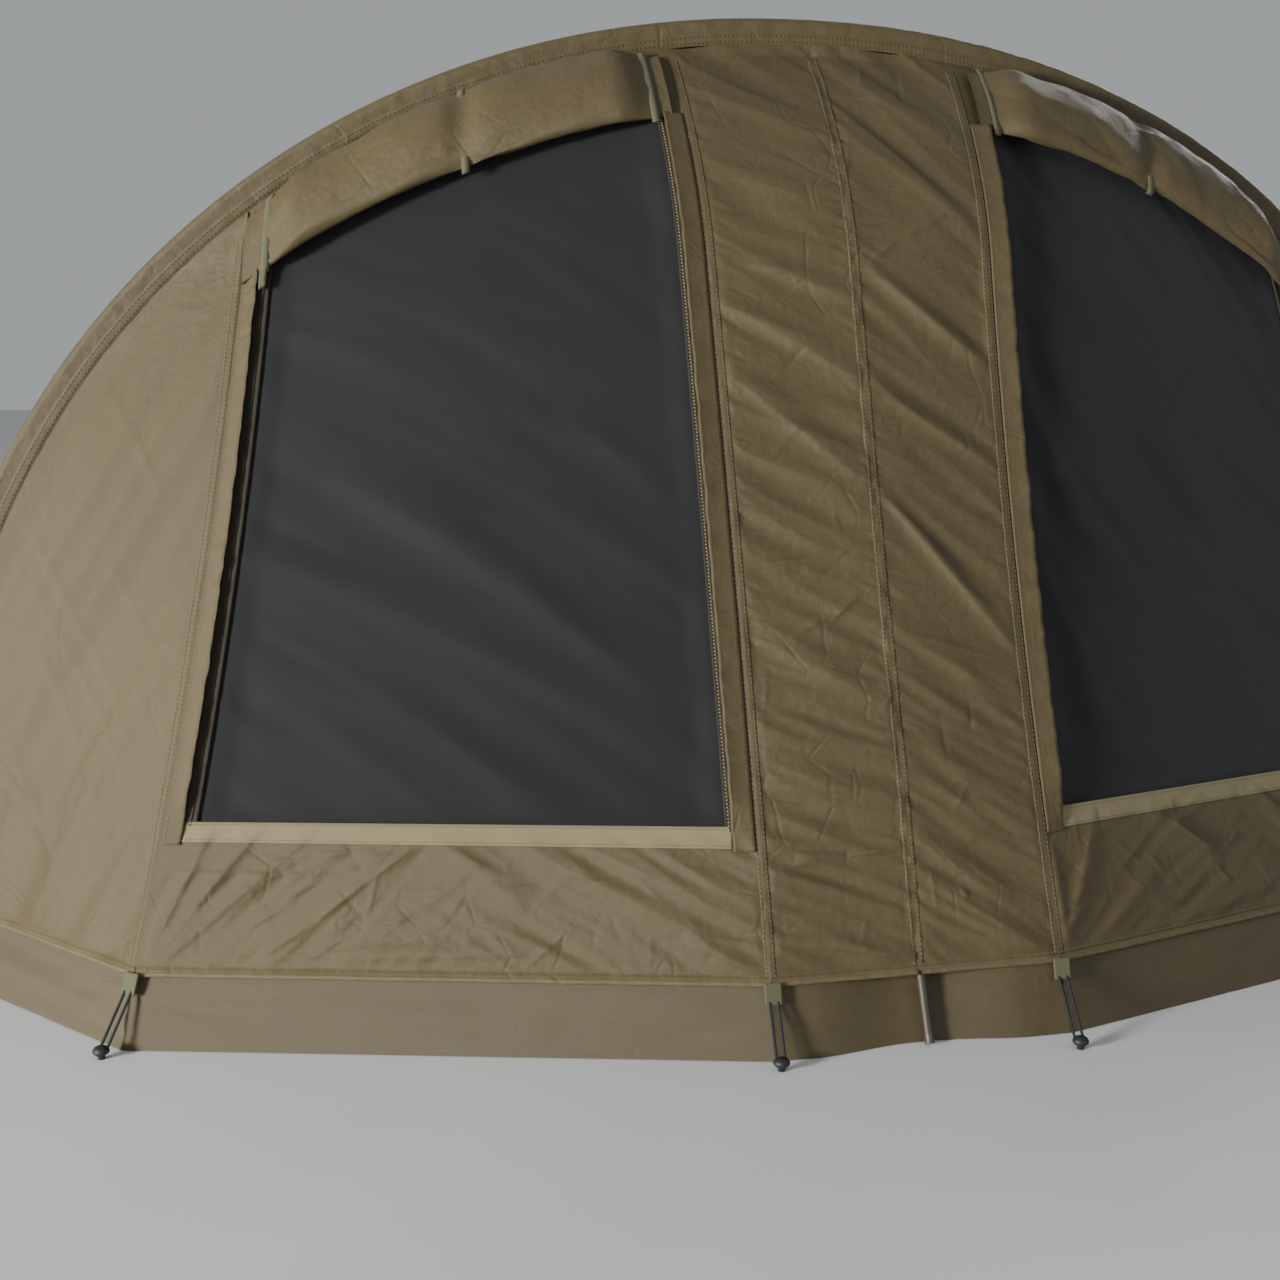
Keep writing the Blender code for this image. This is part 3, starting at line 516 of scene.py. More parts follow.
def panel_point(across, up):
    """The left window panel: across from the outer seam to the inner one, up from the hem."""
    left = outer_seam(seam_height(up, OUTER_SEAM_TOP))
    right = inner_seam(seam_height(up, INNER_SEAM_TOP))
    first, last = rib_seam_between(np.float64(0)), rib_seam_between(np.float64(1))
    a = across[..., None]
    bow = rib_seam_between(across) - (first + (last - first) * a)
    closing = (first - outer_seam(np.float64(OUTER_SEAM_TOP))) * (1 - a)
    closing = closing + (last - inner_seam(np.float64(INNER_SEAM_TOP))) * a
    share = risen(up)[..., None]
    return left + (right - left) * a + bow * share**1.5 + closing * share**12


def row_length(up):
    zero = np.zeros_like(up)
    return np.linalg.norm(panel_point(zero + 1, up) - panel_point(zero, up), axis=-1)


def column_length(across):
    top, low = np.ones_like(across), np.full_like(across, LEVEL_PART)
    return np.linalg.norm(panel_point(across, top) - panel_point(across, low), axis=-1)


MIDDLE_COLUMN = float(column_length(np.float64(0.5)))
WINDOW_ROW = 1 - (1 - LEVEL_PART) * WINDOW_TOP / MIDDLE_COLUMN


def up_at(h):
    """The row at height h, up to the window's lower edge or a little over it."""
    over = (1 - LEVEL_PART) * (h - WINDOW_BOTTOM) / (OUTER_SEAM_TOP - WINDOW_BOTTOM)
    return np.where(h <= WINDOW_BOTTOM, LEVEL_PART * h / WINDOW_BOTTOM, LEVEL_PART + over)


def length_up(up):
    """Metres up the panel from the hem."""
    return WINDOW_BOTTOM * np.clip(up / LEVEL_PART, 0, 1) + risen(up) * MIDDLE_COLUMN


LEFT_LOW_FOLDS = (
    (0.012, 0.012, 0.090, 0.245, 0.014, 0.0042),
    (0.020, 0.010, 0.170, 0.240, 0.017, 0.0050),
    (0.035, 0.010, 0.270, 0.240, 0.016, 0.0036),
    (0.200, 0.020, 0.470, 0.240, 0.018, 0.0026),
    (0.430, 0.240, 0.640, 0.110, 0.020, 0.0040),
    (0.560, 0.230, 1.050, 0.020, 0.018, 0.0052),
    (0.690, 0.225, 1.045, 0.075, 0.016, 0.0044),
    (0.790, 0.220, 1.040, 0.110, 0.014, 0.0034),
    (0.900, 0.070, 1.052, 0.012, 0.010, 0.0034),
    (0.300, 0.030, 0.700, 0.045, 0.014, 0.0030),
)
LEFT_LOW_CREASES = (
    (0.015, 0.163, 0.322, 0.157, 0.004, 0.0016),
    (0.322, 0.157, 0.400, 0.200, 0.004, 0.0014),
    (0.199, 0.027, 0.286, 0.087, 0.005, 0.0018),
    (0.286, 0.087, 0.359, 0.148, 0.005, 0.0018),
    (0.359, 0.148, 0.439, 0.215, 0.005, 0.0016),
    (0.168, 0.073, 0.251, 0.120, 0.005, 0.0020),
    (0.223, 0.119, 0.285, 0.153, 0.004, 0.0016),
    (0.290, 0.032, 0.365, 0.079, 0.004, 0.0018),
    (0.365, 0.079, 0.446, 0.096, 0.004, 0.0016),
    (0.259, 0.190, 0.371, 0.201, 0.004, 0.0016),
    (0.319, 0.137, 0.370, 0.089, 0.004, -0.0014),
    (0.370, 0.089, 0.377, 0.168, 0.004, 0.0014),
    (0.200, 0.024, 0.406, 0.047, 0.004, 0.0014),
    (0.100, 0.012, 0.230, 0.052, 0.005, 0.0016),
    (0.640, 0.010, 0.720, 0.090, 0.004, 0.0012),
    (0.956, 0.070, 1.041, 0.059, 0.004, 0.0018),
)
RIGHT_LOW_FOLDS = (
    (1.048, 0.015, 1.010, 0.200, 0.013, 0.0040),
    (1.045, 0.012, 0.880, 0.230, 0.016, 0.0044),
    (0.990, 0.008, 0.780, 0.110, 0.018, 0.0030),
    (0.960, 0.006, 0.470, 0.055, 0.011, 0.0040),
    (0.760, 0.220, 0.600, 0.110, 0.020, 0.0040),
    (0.480, 0.230, 0.300, 0.030, 0.022, 0.0040),
    (0.300, 0.220, 0.030, 0.020, 0.020, 0.0042),
    (0.170, 0.230, 0.020, 0.060, 0.016, 0.0036),
)
RIGHT_LOW_CREASES = (
    (0.716, 0.195, 0.633, 0.130, 0.004, 0.0026),
    (0.791, 0.148, 0.761, 0.106, 0.004, 0.0014),
    (0.708, 0.180, 0.611, 0.211, 0.004, 0.0020),
    (0.631, 0.103, 0.605, 0.066, 0.004, 0.0020),
    (0.601, 0.123, 0.543, 0.154, 0.004, 0.0020),
    (0.809, 0.060, 0.727, 0.045, 0.004, 0.0014),
    (0.860, 0.180, 0.800, 0.120, 0.004, 0.0012),
)


def window_folds(side, s, up):
    """How far the window panel stands out at s metres from the outer seam."""
    h = length_up(up)
    width = row_length(up)
    low = 1 - edge(h - 0.20, 0.06)
    held = edge(s, 0.02) * edge(width - s, 0.02) * (0.25 + 0.75 * edge(h, 0.035))
    if side == "left":
        broad, sharp, seed = LEFT_LOW_FOLDS, LEFT_LOW_CREASES, 21
    else:
        broad, sharp, seed = RIGHT_LOW_FOLDS, RIGHT_LOW_CREASES, 31
    below = 1.9 * folds(s, h, broad) + 1.8 * folds(s, h, sharp, sharp=True)
    turned = edge(s - 0.35, 0.3)
    below = below + 0.0055 * streaks(s, h, 44, 0.035, 0.16, seed) * (1 - turned)
    below = below + 0.0055 * streaks(s, h, -24, 0.032, 0.20, seed + 7) * turned
    below = below + creases(s, h, 36, (0.02, 0.01, 1.02, 0.22), 0.0020, seed + 1)
    margin = 0.0018 * streaks(s, h, 20, 0.030, 0.10, seed + 2)
    return (below * low + margin * (1 - low)) * held


def window_surface(side, across, up, lift=0.0):
    """Points of a front panel beside the middle, with its folds; right ones are mirrored."""
    flat = panel_point(across, up)
    out = facing(flat)
    grid = flat + out * (lift + window_folds(side, across * row_length(up), up))[..., None]
    return grid if side == "left" else mirrored(grid)


def joined(*runs):
    """Runs of numbers one after another, each (first, last, steps), without repeats."""
    parts = [np.linspace(first, last, steps + 1)[1:] for first, last, steps in runs]
    return np.concatenate([[runs[0][0]], *parts])


LOW_ROWS = 74  # below the window
WINDOW_ROWS = 190
SIDE_COLUMNS = 14
WINDOW_COLUMNS = 280
rows = joined((0, LEVEL_PART, LOW_ROWS), (LEVEL_PART, WINDOW_ROW, WINDOW_ROWS), (WINDOW_ROW, 1, 12))
first = (WINDOW_OUTER / row_length(rows))[:, None]
last = 1 - (WINDOW_INNER / row_length(rows))[:, None]
share = joined((0, 1, SIDE_COLUMNS), (1, 2, WINDOW_COLUMNS), (2, 3, SIDE_COLUMNS))[None, :]
across = np.where(share < 1, first * share, first + (last - first) * (share - 1))
across = np.where(share > 2, last + (1 - last) * (share - 2), across)
up = np.broadcast_to(rows[:, None], across.shape)
hole = np.zeros((len(rows) - 1, share.size - 1), bool)
hole[LOW_ROWS : LOW_ROWS + WINDOW_ROWS, SIDE_COLUMNS : SIDE_COLUMNS + WINDOW_COLUMNS] = True
smooth = panel_point(across, up)
for side in ("left", "right"):
    grid = window_surface(side, across, up)
    nodes = (f"{side}_window_panel",)
    piece = skin(f"{side}_window_cloth", grid, shell_cloth, nodes, hole)


# The middle panel is two halves with a seam over the pole. The pole pushes the seam forward, and
# the cloth pulls into slanting folds between the seams.


def centre_point(across, up):
    """The left half: across from the inner seam to the middle seam, up from the hem."""
    seam_h = seam_height(up, INNER_SEAM_TOP)
    share = seam_h / INNER_SEAM_TOP
    h = share * RIB_SEAM[1]
    ridge = 0.018 * np.clip(h / 0.3, 0, 1) * (1 - share**4)
    seam = inner_seam(seam_h)
    depth = front_depth(np.minimum(h, INNER_SEAM_TOP)) - ridge
    middle = np.stack([np.zeros_like(h), depth, h], axis=-1)
    a = across[..., None]
    flat = seam * (1 - a) + middle * a
    end = inner_seam(np.float64(INNER_SEAM_TOP)) * (1 - a)
    end = end + np.array([0, front_depth(INNER_SEAM_TOP), RIB_SEAM[1]]) * a
    top_h = arch_height(RIB_SEAM, end[..., 0])
    target = np.stack([end[..., 0], RIB_SEAM[2] - RIB_SEAM[3] * top_h, top_h], axis=-1)
    return flat + (target - end) * risen(up)[..., None] ** 12


CENTRE_LEFT_FOLDS = (
    (-0.262, 1.108, 0.004, 0.952, 0.020, 0.0062),
    (-0.262, 1.190, 0.004, 1.092, 0.016, 0.0036),
    (-0.258, 0.988, 0.004, 0.772, 0.022, 0.0060),
    (-0.250, 0.855, -0.040, 0.770, 0.016, 0.0020),
    (-0.250, 0.550, 0.002, 0.416, 0.020, 0.0052),
    (-0.250, 0.382, 0.004, 0.352, 0.018, 0.0036),
    (-0.250, 0.312, 0.004, 0.286, 0.018, 0.0044),
    (-0.255, 0.071, 0.006, 0.020, 0.011, 0.0064),
    (-0.250, 0.150, 0.004, 0.120, 0.016, 0.0028),
    (-0.262, 1.330, 0.004, 1.250, 0.020, 0.0044),
    (-0.262, 1.480, 0.004, 1.370, 0.022, 0.0040),
)
CENTRE_LEFT_CREASES = (
    (-0.243, 0.657, -0.082, 0.674, 0.004, 0.0022),
    (-0.082, 0.674, 0.000, 0.690, 0.004, 0.0018),
    (-0.179, 0.540, -0.068, 0.585, 0.004, 0.0018),
    (-0.110, 0.555, -0.039, 0.608, 0.004, 0.0014),
    (-0.201, 0.197, -0.111, 0.192, 0.005, 0.0034),
    (-0.111, 0.192, -0.009, 0.199, 0.005, 0.0034),
    (-0.237, 0.177, -0.159, 0.187, 0.004, 0.0018),
    (-0.190, 1.160, -0.120, 1.150, 0.004, 0.0016),
)
CENTRE_RIGHT_FOLDS = (
    (0.004, 1.165, 0.248, 0.990, 0.018, 0.0060),
    (0.004, 0.950, 0.250, 0.815, 0.018, 0.0060),
    (0.004, 0.850, 0.250, 0.740, 0.018, 0.0024),
    (0.004, 0.778, 0.252, 0.498, 0.013, 0.0064),
    (0.004, 0.548, 0.256, 0.404, 0.018, 0.0054),
    (0.004, 0.484, 0.140, 0.390, 0.013, 0.0030),
    (0.004, 0.380, 0.258, 0.222, 0.016, 0.0044),
    (0.004, 0.316, 0.250, 0.200, 0.014, 0.0042),
    (0.004, 0.218, 0.240, 0.055, 0.015, 0.0052),
    (0.004, 0.158, 0.256, 0.004, 0.014, 0.0054),
    (0.004, 0.122, 0.250, 0.006, 0.010, 0.0050),
    (0.004, 0.088, 0.240, 0.004, 0.010, 0.0040),
    (0.004, 1.400, 0.250, 1.230, 0.020, 0.0044),
    (0.004, 1.520, 0.250, 1.380, 0.020, 0.0036),
)
CENTRE_RIGHT_CREASES = (
    (0.027, 1.161, 0.092, 1.206, 0.004, 0.0016),
    (0.092, 1.206, 0.192, 1.256, 0.004, 0.0018),
    (0.076, 0.703, 0.249, 0.746, 0.004, 0.0018),
    (0.020, 0.542, 0.250, 0.482, 0.004, 0.0014),
    (0.060, 0.196, 0.130, 0.203, 0.004, 0.0014),
    (0.110, 0.163, 0.190, 0.110, 0.004, 0.0016),
    (0.100, 0.112, 0.085, 0.128, 0.004, 0.0018),
)


def centre_width(up):
    """How wide one half of the middle panel is at a row."""
    return np.abs(inner_seam(seam_height(up, INNER_SEAM_TOP))[..., 0])


def centre_folds(side, x, up):
    """How far the middle panel stands out; x is metres from the middle, negative on the left."""
    h = length_up(up)
    width = centre_width(up)
    far, near = width - np.abs(x), np.abs(x)
    held = edge(far, 0.02) * edge(near, 0.012) * (0.15 + 0.85 * edge(h, 0.03))
    held = held * edge(1.62 - h, 0.06)
    if side == "left":
        broad, sharp, seed = CENTRE_LEFT_FOLDS, CENTRE_LEFT_CREASES, 41
    else:
        broad, sharp, seed = CENTRE_RIGHT_FOLDS, CENTRE_RIGHT_CREASES, 51
    total = 1.5 * folds(x, h, broad) + 2.2 * folds(x, h, sharp, sharp=True)
    slope = -24 if side == "left" else -36
    total = total + 0.0085 * streaks(x, h, slope, 0.050, 0.30, seed)
    low = 1 - edge(h - 0.35, 0.3)
    total = total + 0.0060 * streaks(x, h, slope + 6, 0.030, 0.22, seed + 4) * low
    total = total + creases(x, h, 30, (-0.26, 0, 0.26, 1.5), 0.0020, seed + 1, 80)
    total = total + creases(x, h, 30, (-0.26, 0, 0.26, 1.5), 0.0020, seed + 2, 5)
    puckers = 0.0036 * streaks(x, h, -25, 0.014, 0.07, seed + 3)
    puckers = puckers * (1 - edge(far, 0.07) * edge(near, 0.07))
    return (total + puckers) * held


def centre_surface(side, across, up, lift=0.0):
    """Points of half of the middle panel with its folds."""
    flat = centre_point(across, up)
    x = flat[..., 0] if side == "left" else -flat[..., 0]
    grid = flat + facing(flat) * (lift + centre_folds(side, x, up))[..., None]
    return grid if side == "left" else mirrored(grid)


across, up = np.meshgrid(np.linspace(0, 1, 82), joined((0, LEVEL_PART, 70), (LEVEL_PART, 1, 400)))
smooth = centre_point(across, up)
for side in ("left", "right"):
    grid = centre_surface(side, across, up)
    piece = skin(f"centre_cloth_{side}", grid, shell_cloth, (f"centre_panel_{side}",))

# The seams are felled: both edges are folded together into a raised band with two rows of stitches.
# The middle one has rows of zigzag stitches, through to the pocket for the pole.
band_lift = np.array([0.0000, 0.0009, 0.0009, 0.0013, 0.0013, 0.0009, 0.0009, 0.0000])
rows = joined((0.002, LEVEL_PART, 60), (LEVEL_PART, 0.985, 360))[:, None]
run = length_up(rows)


def raised(band, pucker):
    """A felled band, lifted off its seam and puckered between its two edges."""
    return band + facing(band) * (band_lift + pucker * (band_lift > 0.0005))[..., None]


away = np.array([0.0088, 0.0082, 0.0066, 0.0012])
lines = []
for side in ("left", "right"):
    outer_part = 1 - away / row_length(rows)
    outer = window_surface(side, outer_part, np.broadcast_to(rows, outer_part.shape))
    inner_part = away[::-1] / centre_width(rows)
    inner = centre_surface(side, inner_part, np.broadcast_to(rows, inner_part.shape))
    band = np.concatenate([outer, inner] if side == "left" else [inner, outer], axis=1)
    band = raised(band, 0.0010 * noise(run / 0.0085, away[0] + 0 * run, 58 + (side == "right")))
    skin(f"{side}_inner_seam_band", band, shell_cloth)
    lines += seam_lines(band, (2, 5))
stitch_rows("inner_seam", lines, 0.0082)

near = np.array([0.0100, 0.0094, 0.0066, 0.0008])
halves = []
for side in ("left", "right"):
    part = 1 - near / centre_width(rows)
    halves.append(centre_surface(side, part, np.broadcast_to(rows, part.shape)))
band = np.concatenate(halves, axis=1)
band = raised(band, 0.0014 * noise(run / 0.0095, np.arange(8) / 3.0 + 0 * run, 59))
skin("middle_seam_band", band, shell_cloth)
stitch_rows("middle_seam", seam_lines(band, (2, 5)), 0.0082, 38)


# The insect mesh is fine charcoal netting, knitted from polyester. It is sewn behind each window
# with a narrow lap all round, and hangs in long soft folds.

MESH_LAP = 0.012
MESH_DEPTH = 0.0045


def netting_finish(name, colour, shade, pitch=0.0011):
    """Knitted netting: rows of tiny holes between soft round threads; the holes are painted near-black,
    as shade of the inside behind.
    """
    made, shader, start = begin(
        name, Sheen_Weight=0.18, Sheen_Roughness=0.45, Specular_IOR_Level=0.2
    )
    cut = start.node("UVMap", {"uv_map": "cut"})
    place = start.node("TexCoord", output=3)
    across = (cut.part(0) * (2 * math.pi / pitch)).wave()
    up = (cut.part(1) * (2 * math.pi / pitch)).wave()
    holes = (across * up).between(0.35, 0.75)
    tone = (place.noise(3, 3) * 0.7 + cut.scaled(300, 8, 1).noise(1.0, 2) * 0.3).between(0.3, 0.7)
    thread = tone.blend(opaque(shade), opaque(colour))
    # The holes' near-black is painted shade of the tent's dark inside seen through them.
    feed(shader, Base_Color=holes.blend(thread, opaque((0.008, 0.008, 0.009))))
    feed(shader, Roughness=tone * 0.1 + 0.62)
    bump = start.node("Bump", {}, {"Strength": 0.5, "Distance": 0.0004, "Height": 1 - holes})
    feed(shader, Normal=bump)
    return made


netting = netting_finish("netting", (0.0130, 0.0130, 0.0134), (0.0088, 0.0088, 0.0091))
LEFT_NET_FOLDS = (
    (0.070, 0.770, 0.860, 0.350, 0.030, 0.0075),
    (0.190, 0.905, 0.880, 0.410, 0.030, 0.0070),
    (0.070, 0.665, 0.680, 0.245, 0.028, 0.0060),
    (0.200, 0.430, 0.500, 0.245, 0.024, 0.0045),
    (0.600, 0.960, 0.870, 0.720, 0.024, 0.0040),
    (0.540, 0.830, 0.880, 0.600, 0.026, 0.0040),
    (0.080, 1.000, 0.500, 0.700, 0.034, 0.0036),
)
RIGHT_NET_FOLDS = (
    (1.000, 0.900, 0.700, 0.300, 0.034, 0.0060),
    (0.950, 1.100, 0.400, 0.350, 0.036, 0.0060),
    (0.800, 1.100, 0.150, 0.450, 0.034, 0.0052),
    (0.600, 0.400, 0.300, 0.245, 0.026, 0.0036),
    (0.500, 1.000, 0.100, 0.700, 0.034, 0.0044),
)
mesh_low = float(up_at(WINDOW_BOTTOM - MESH_LAP))
rows = joined((mesh_low, WINDOW_ROW, 96), (WINDOW_ROW, WINDOW_ROW + 0.01, 2))
lap = (MESH_LAP / row_length(rows))[:, None]
first = (WINDOW_OUTER / row_length(rows))[:, None] - lap
last = 1 - (WINDOW_INNER / row_length(rows))[:, None] + lap
across = first + (last - first) * np.linspace(0, 1, 88)
up = np.broadcast_to(rows[:, None], across.shape)
s = across * row_length(up)
h = length_up(up)
held = edge(s - WINDOW_OUTER, 0.05) * edge(row_length(up) - WINDOW_INNER - s, 0.05)
held = held * edge(h - WINDOW_BOTTOM - 0.005, 0.04)
flat = panel_point(across, up)
for side, lines, slope, seed in (("left", LEFT_NET_FOLDS, -32, 61), ("right", RIGHT_NET_FOLDS, 52, 62)):
    soft = 1.4 * folds(s, h, lines) + 0.009 * streaks(s, h, slope, 0.11, 0.55, seed)
    soft = soft + 0.0036 * streaks(s, h, slope - 4, 0.040, 0.40, seed + 5)
    grid = flat + facing(flat) * (soft * held - MESH_DEPTH - 0.006 * held)[..., None]
    grid = grid if side == "left" else mirrored(grid)
    piece = skin(f"{side}_netting", grid, netting, (f"{side}_window_mesh",))


# A beige woven tape is stitched along the window's lower edge, where the screen is closed. It runs
# from one zip flap to the other.

TAPE_LOW = 0.210
TAPE_HIGH = 0.242
OUTER_FLAP = (0.004, 0.036)  # from the outer seam
INNER_FLAP = (0.009, 0.047)  # from the inner seam
tape_cloth = cloth_finish(
    "tape_cloth", (0.205, 0.172, 0.090), (0.170, 0.142, 0.074), 0.85, 0.1, 0.3, 0.0016
)
rows = up_at(np.linspace(TAPE_LOW, TAPE_HIGH, 9))
first = (OUTER_FLAP[1] / row_length(rows))[:, None]
last = 1 - (INNER_FLAP[1] / row_length(rows))[:, None]
across = first + (last - first) * np.linspace(0, 1, 240)
up = np.broadcast_to(rows[:, None], across.shape)
for side in ("left", "right"):
    grid = window_surface(side, across, up, 0.0022)
    node = f"{side}_window_tape"
    piece = skin(f"{side}_tape", grid, tape_cloth, (node,), thickness=0.0012)
    lines = [(points, outs) for points, outs in zip(grid[[1, -2]], facing(grid)[[1, -2]])]
    sew(f"{side}_tape_stitches", lines, 0.0050, (0.0034, 0.0010, 0.0009), dark_thread_and_dimple_shade)


# The window's sides are turned under and stitched, and half of a zip is sewn beside each: black
# next to the outer seam, olive next to the inner one. The screen that the zips held is rolled up.
# The turned-under edges get a near black-brown colour: painted shade, where the flaps shade them.
painted_shade_binding = cloth_finish("painted_shade_binding", (0.022, 0.017, 0.008), (0.016, 0.012, 0.006), 0.7, 0.02, 0.6)
zip_cloth = cloth_finish(
    "zip_cloth", (0.036, 0.027, 0.014), (0.022, 0.017, 0.009), 0.8, 0.05, 0.6, 0.0012
)
olive_zip_cloth = cloth_finish(
    "olive_zip_cloth", (0.060, 0.048, 0.023), (0.045, 0.036, 0.017), 0.8, 0.05, 0.6, 0.0012
)


def nylon_finish(name, colour):
    """Moulded zip teeth, a little shiny."""
    made, shader, start = begin(name, Specular_IOR_Level=0.5)
    worn = start.node("TexCoord", output=3).noise(300, 2)
    feed(shader, Base_Color=worn.blend(opaque(colour), opaque(tuple(c * 1.35 for c in colour))))
    feed(shader, Roughness=worn * 0.2 + 0.32)
    return made


dark_teeth = nylon_finish("dark_teeth", (0.030, 0.025, 0.018))
olive_teeth = nylon_finish("olive_teeth", (0.150, 0.130, 0.068))


def strip(side, place, distances, lifts, rows, puckered, seed):
    """A strip along a window's side, at these distances from the nearer seam."""
    length = row_length(rows)[:, None]
    h = length_up(rows)[:, None]
    kinks = puckered * noise(h / 0.011, distances[None, :] / 0.006, seed)
    bend = 0.5 * puckered * noise(h / 0.04, distances[None, :] * 0, seed + 1)
    away = distances[None, :] + bend
    across = away / length if place == "outer" else 1 - away[:, ::-1] / length
    lift = (lifts[None, :] + kinks) if place == "outer" else (lifts[None, :] + kinks)[:, ::-1]
    return window_surface(side, across, np.broadcast_to(rows[:, None], across.shape), lift)


rows = joined((float(up_at(0.236)), WINDOW_ROW, 250))
for side in ("left", "right"):
    for place, window_edge, seed in (("outer", WINDOW_OUTER, 63), ("inner", WINDOW_INNER, 66)):
        turned_under = np.array([-0.0060, -0.0055, -0.0032, -0.0006, 0.0008, 0.0010]) + window_edge
        lifts = np.array([0.0001, 0.0012, 0.0014, 0.0014, 0.0006, -0.0030])
        grid = strip(side, place, turned_under, lifts, rows, 0.0004, seed)
        skin(f"{side}_{place}_window_hem", grid, painted_shade_binding)
        if place == "outer":
            tape, teeth_at, cloth, teeth = (0.026, 0.0472), 0.0464, zip_cloth, dark_teeth
        else:
            tape, teeth_at, cloth, teeth = (0.040, 0.0520), 0.0510, olive_zip_cloth, olive_teeth
        distances = np.linspace(*tape, 8)
        lifts = np.array([0.0006, 0.0016, 0.0018, 0.0019, 0.0020, 0.0022, 0.0023, 0.0022])
        grid = strip(side, place, distances, lifts, rows, 0.0016, seed + 1)
        piece = skin(f"{side}_{place}_zip_tape", grid, cloth)
        edge_columns = np.array([teeth_at - 0.004, teeth_at, teeth_at + 0.004])
        grid = strip(side, place, edge_columns, np.full(3, 0.0028), rows, 0.0004, seed + 1)
        size = (0.0015, 0.0040, 0.0018) if place == "outer" else (0.0036, 0.0046, 0.0022)
        pitch = 0.0029 if place == "outer" else 0.0062
        sew(f"{side}_{place}_zip_teeth", seam_lines(grid, (1,)), pitch, size, teeth)


# A flap of shell cloth covers each zip, sewn along the seam and open towards the window. Its free
# edge is puckered by the stitching.

FLAP_BOTTOM = 0.205
ROLL_LOW = 0.157  # the roll's lower edge, down from the rib's seam
for side in ("left", "right"):
    for place, (near, far) in (("outer", OUTER_FLAP), ("inner", INNER_FLAP)):
        column = np.float64(0.05 if place == "outer" else 0.96)
        top = 1 - (1 - LEVEL_PART) * (ROLL_LOW - 0.02) / float(column_length(column))
        rows = joined((float(up_at(FLAP_BOTTOM)), LEVEL_PART, 6), (LEVEL_PART, top, 220))
        length = row_length(rows)[:, None]
        h = length_up(rows)[:, None]
        seed = 71 + 3 * (side == "right") + (place == "inner")
        free = np.linspace(0, 1, 9)[None, :]
        kinks = 0.0022 * noise(h / 0.045, free * 0 + seed, seed)
        kinks = kinks + 0.0012 * noise(h / 0.018, free * 0, seed + 9)
        distance = near + (far - near) * free + kinks * free
        across = distance / length if place == "outer" else 1 - distance[:, ::-1] / length
        loose = free if place == "outer" else free[:, ::-1]
        up = np.broadcast_to(rows[:, None], across.shape)
        pucker = 0.0045 * noise(h / 0.036, distance / 0.06, seed + 20)
        pucker = pucker + 0.0028 * streaks(distance, h, 30, 0.012, 0.040, seed + 30)
        if place == "inner":
            pucker = pucker[:, ::-1]
        held = edge(h - 0.205, 0.10)
        rise = 0.0032 + (0.0010 + 0.0110 * held) * loose**1.2 + pucker * (0.2 + 0.8 * loose) * loose
        rise = np.maximum(rise, 0.0030)
        grid = window_surface(side, across, up, rise)
        node = f"{side}_{place}_zip_flap"
        piece = skin(f"{node}_cloth", grid, shell_cloth, (node,), thickness=0.0012)
        size = (0.0046, 0.0010, 0.0012)
        sew(f"{node}_stitches", seam_lines(grid, (1, 7)), 0.0072, size, dark_thread_and_dimple_shade)


# The solid screen of each window is a sheet of shell cloth. It is unzipped and gathered into a roll
# along the window's top, thinner at its two ends and where the ties draw it in.

ROLL_HIGH = 0.010
ROLL_DEPTH = 0.052
ROLL_ENDS = (0.006, 0.965)
ROLL_TURNS = 6.2
TIES = (0.060, 0.500, 0.925)  # shares of the panel's width


def roll_fatness(across):
    """The roll's thickness along the panel's width, as a share of the full one."""
    return 0.30 + 0.70 * edge(np.minimum(across - ROLL_ENDS[0], ROLL_ENDS[1] - across), 0.13)


def roll_points(side, seed):
    """The screen wound from its sewn edge inwards, flattened against the panel."""
    ends = np.linspace(*ROLL_ENDS, 104)[:, None]
    turn = np.linspace(-0.05, ROLL_TURNS, 134)[None, :]
    wound = 1 - 0.86 * np.clip(turn / ROLL_TURNS, 0, 1)
    angle = 2 * math.pi * turn
    fat = roll_fatness(ends)
    length = np.linspace(0, 1, 104)[:, None]
    lumps = 1 + 0.10 * noise(length * 9, angle * 1.2 + 0 * length, seed)
    crest = noise(angle * 1.05 + 3.2 * length, length * 2.6, seed + 1)
    ridges = 0.020 * (0.2 - np.sqrt(crest**2 + 0.002) + 0.4 * crest)
    crest = noise(angle * 2.6 - 4.0 * length, length * 7.0, seed + 2)
    ridges = ridges + 0.009 * (0.2 - np.sqrt(crest**2 + 0.002))
    tied = 1 - 0.22 * sum(np.exp(-(((ends - along) / 0.035) ** 2)) for along in TIES)
    middle, half = (ROLL_LOW + ROLL_HIGH) / 2, (ROLL_LOW - ROLL_HIGH) / 2
    down = middle - half * np.cos(angle) * wound * (0.82 + 0.18 * fat)
    lift = 0.5 * ROLL_DEPTH * fat * lumps * tied * (1 + np.sin(angle) * wound)
    lift = lift + ridges * fat * wound
    lift = np.maximum(lift, 0.004)
    across = ends + 0 * angle
    up = 1 - (1 - LEVEL_PART) * down / column_length(across)
    flat = panel_point(across, up)
    guide = panel_point(across, np.broadcast_to(np.linspace(0.86, 0.99, 134), across.shape))
    out = facing(np.transpose(guide, (1, 0, 2)))
    out = np.transpose(out, (1, 0, 2)).mean(axis=1, keepdims=True)
    grid = np.transpose(flat + out * lift[..., None], (1, 0, 2))
    return grid if side == "left" else mirrored(grid)


for side, seed in (("left", 81), ("right", 91)):
    grid = roll_points(side, seed)
    piece = skin(f"{side}_screen_roll", grid, shell_cloth, (f"{side}_rolled_screen",))


# Three narrow webbing ties hold each roll up. A loop of the outer one hangs down beside the flap.
webbing = cloth_finish("webbing", (0.085, 0.088, 0.043), (0.068, 0.071, 0.034), 0.8, 0.1, 0.2, 0.0022)


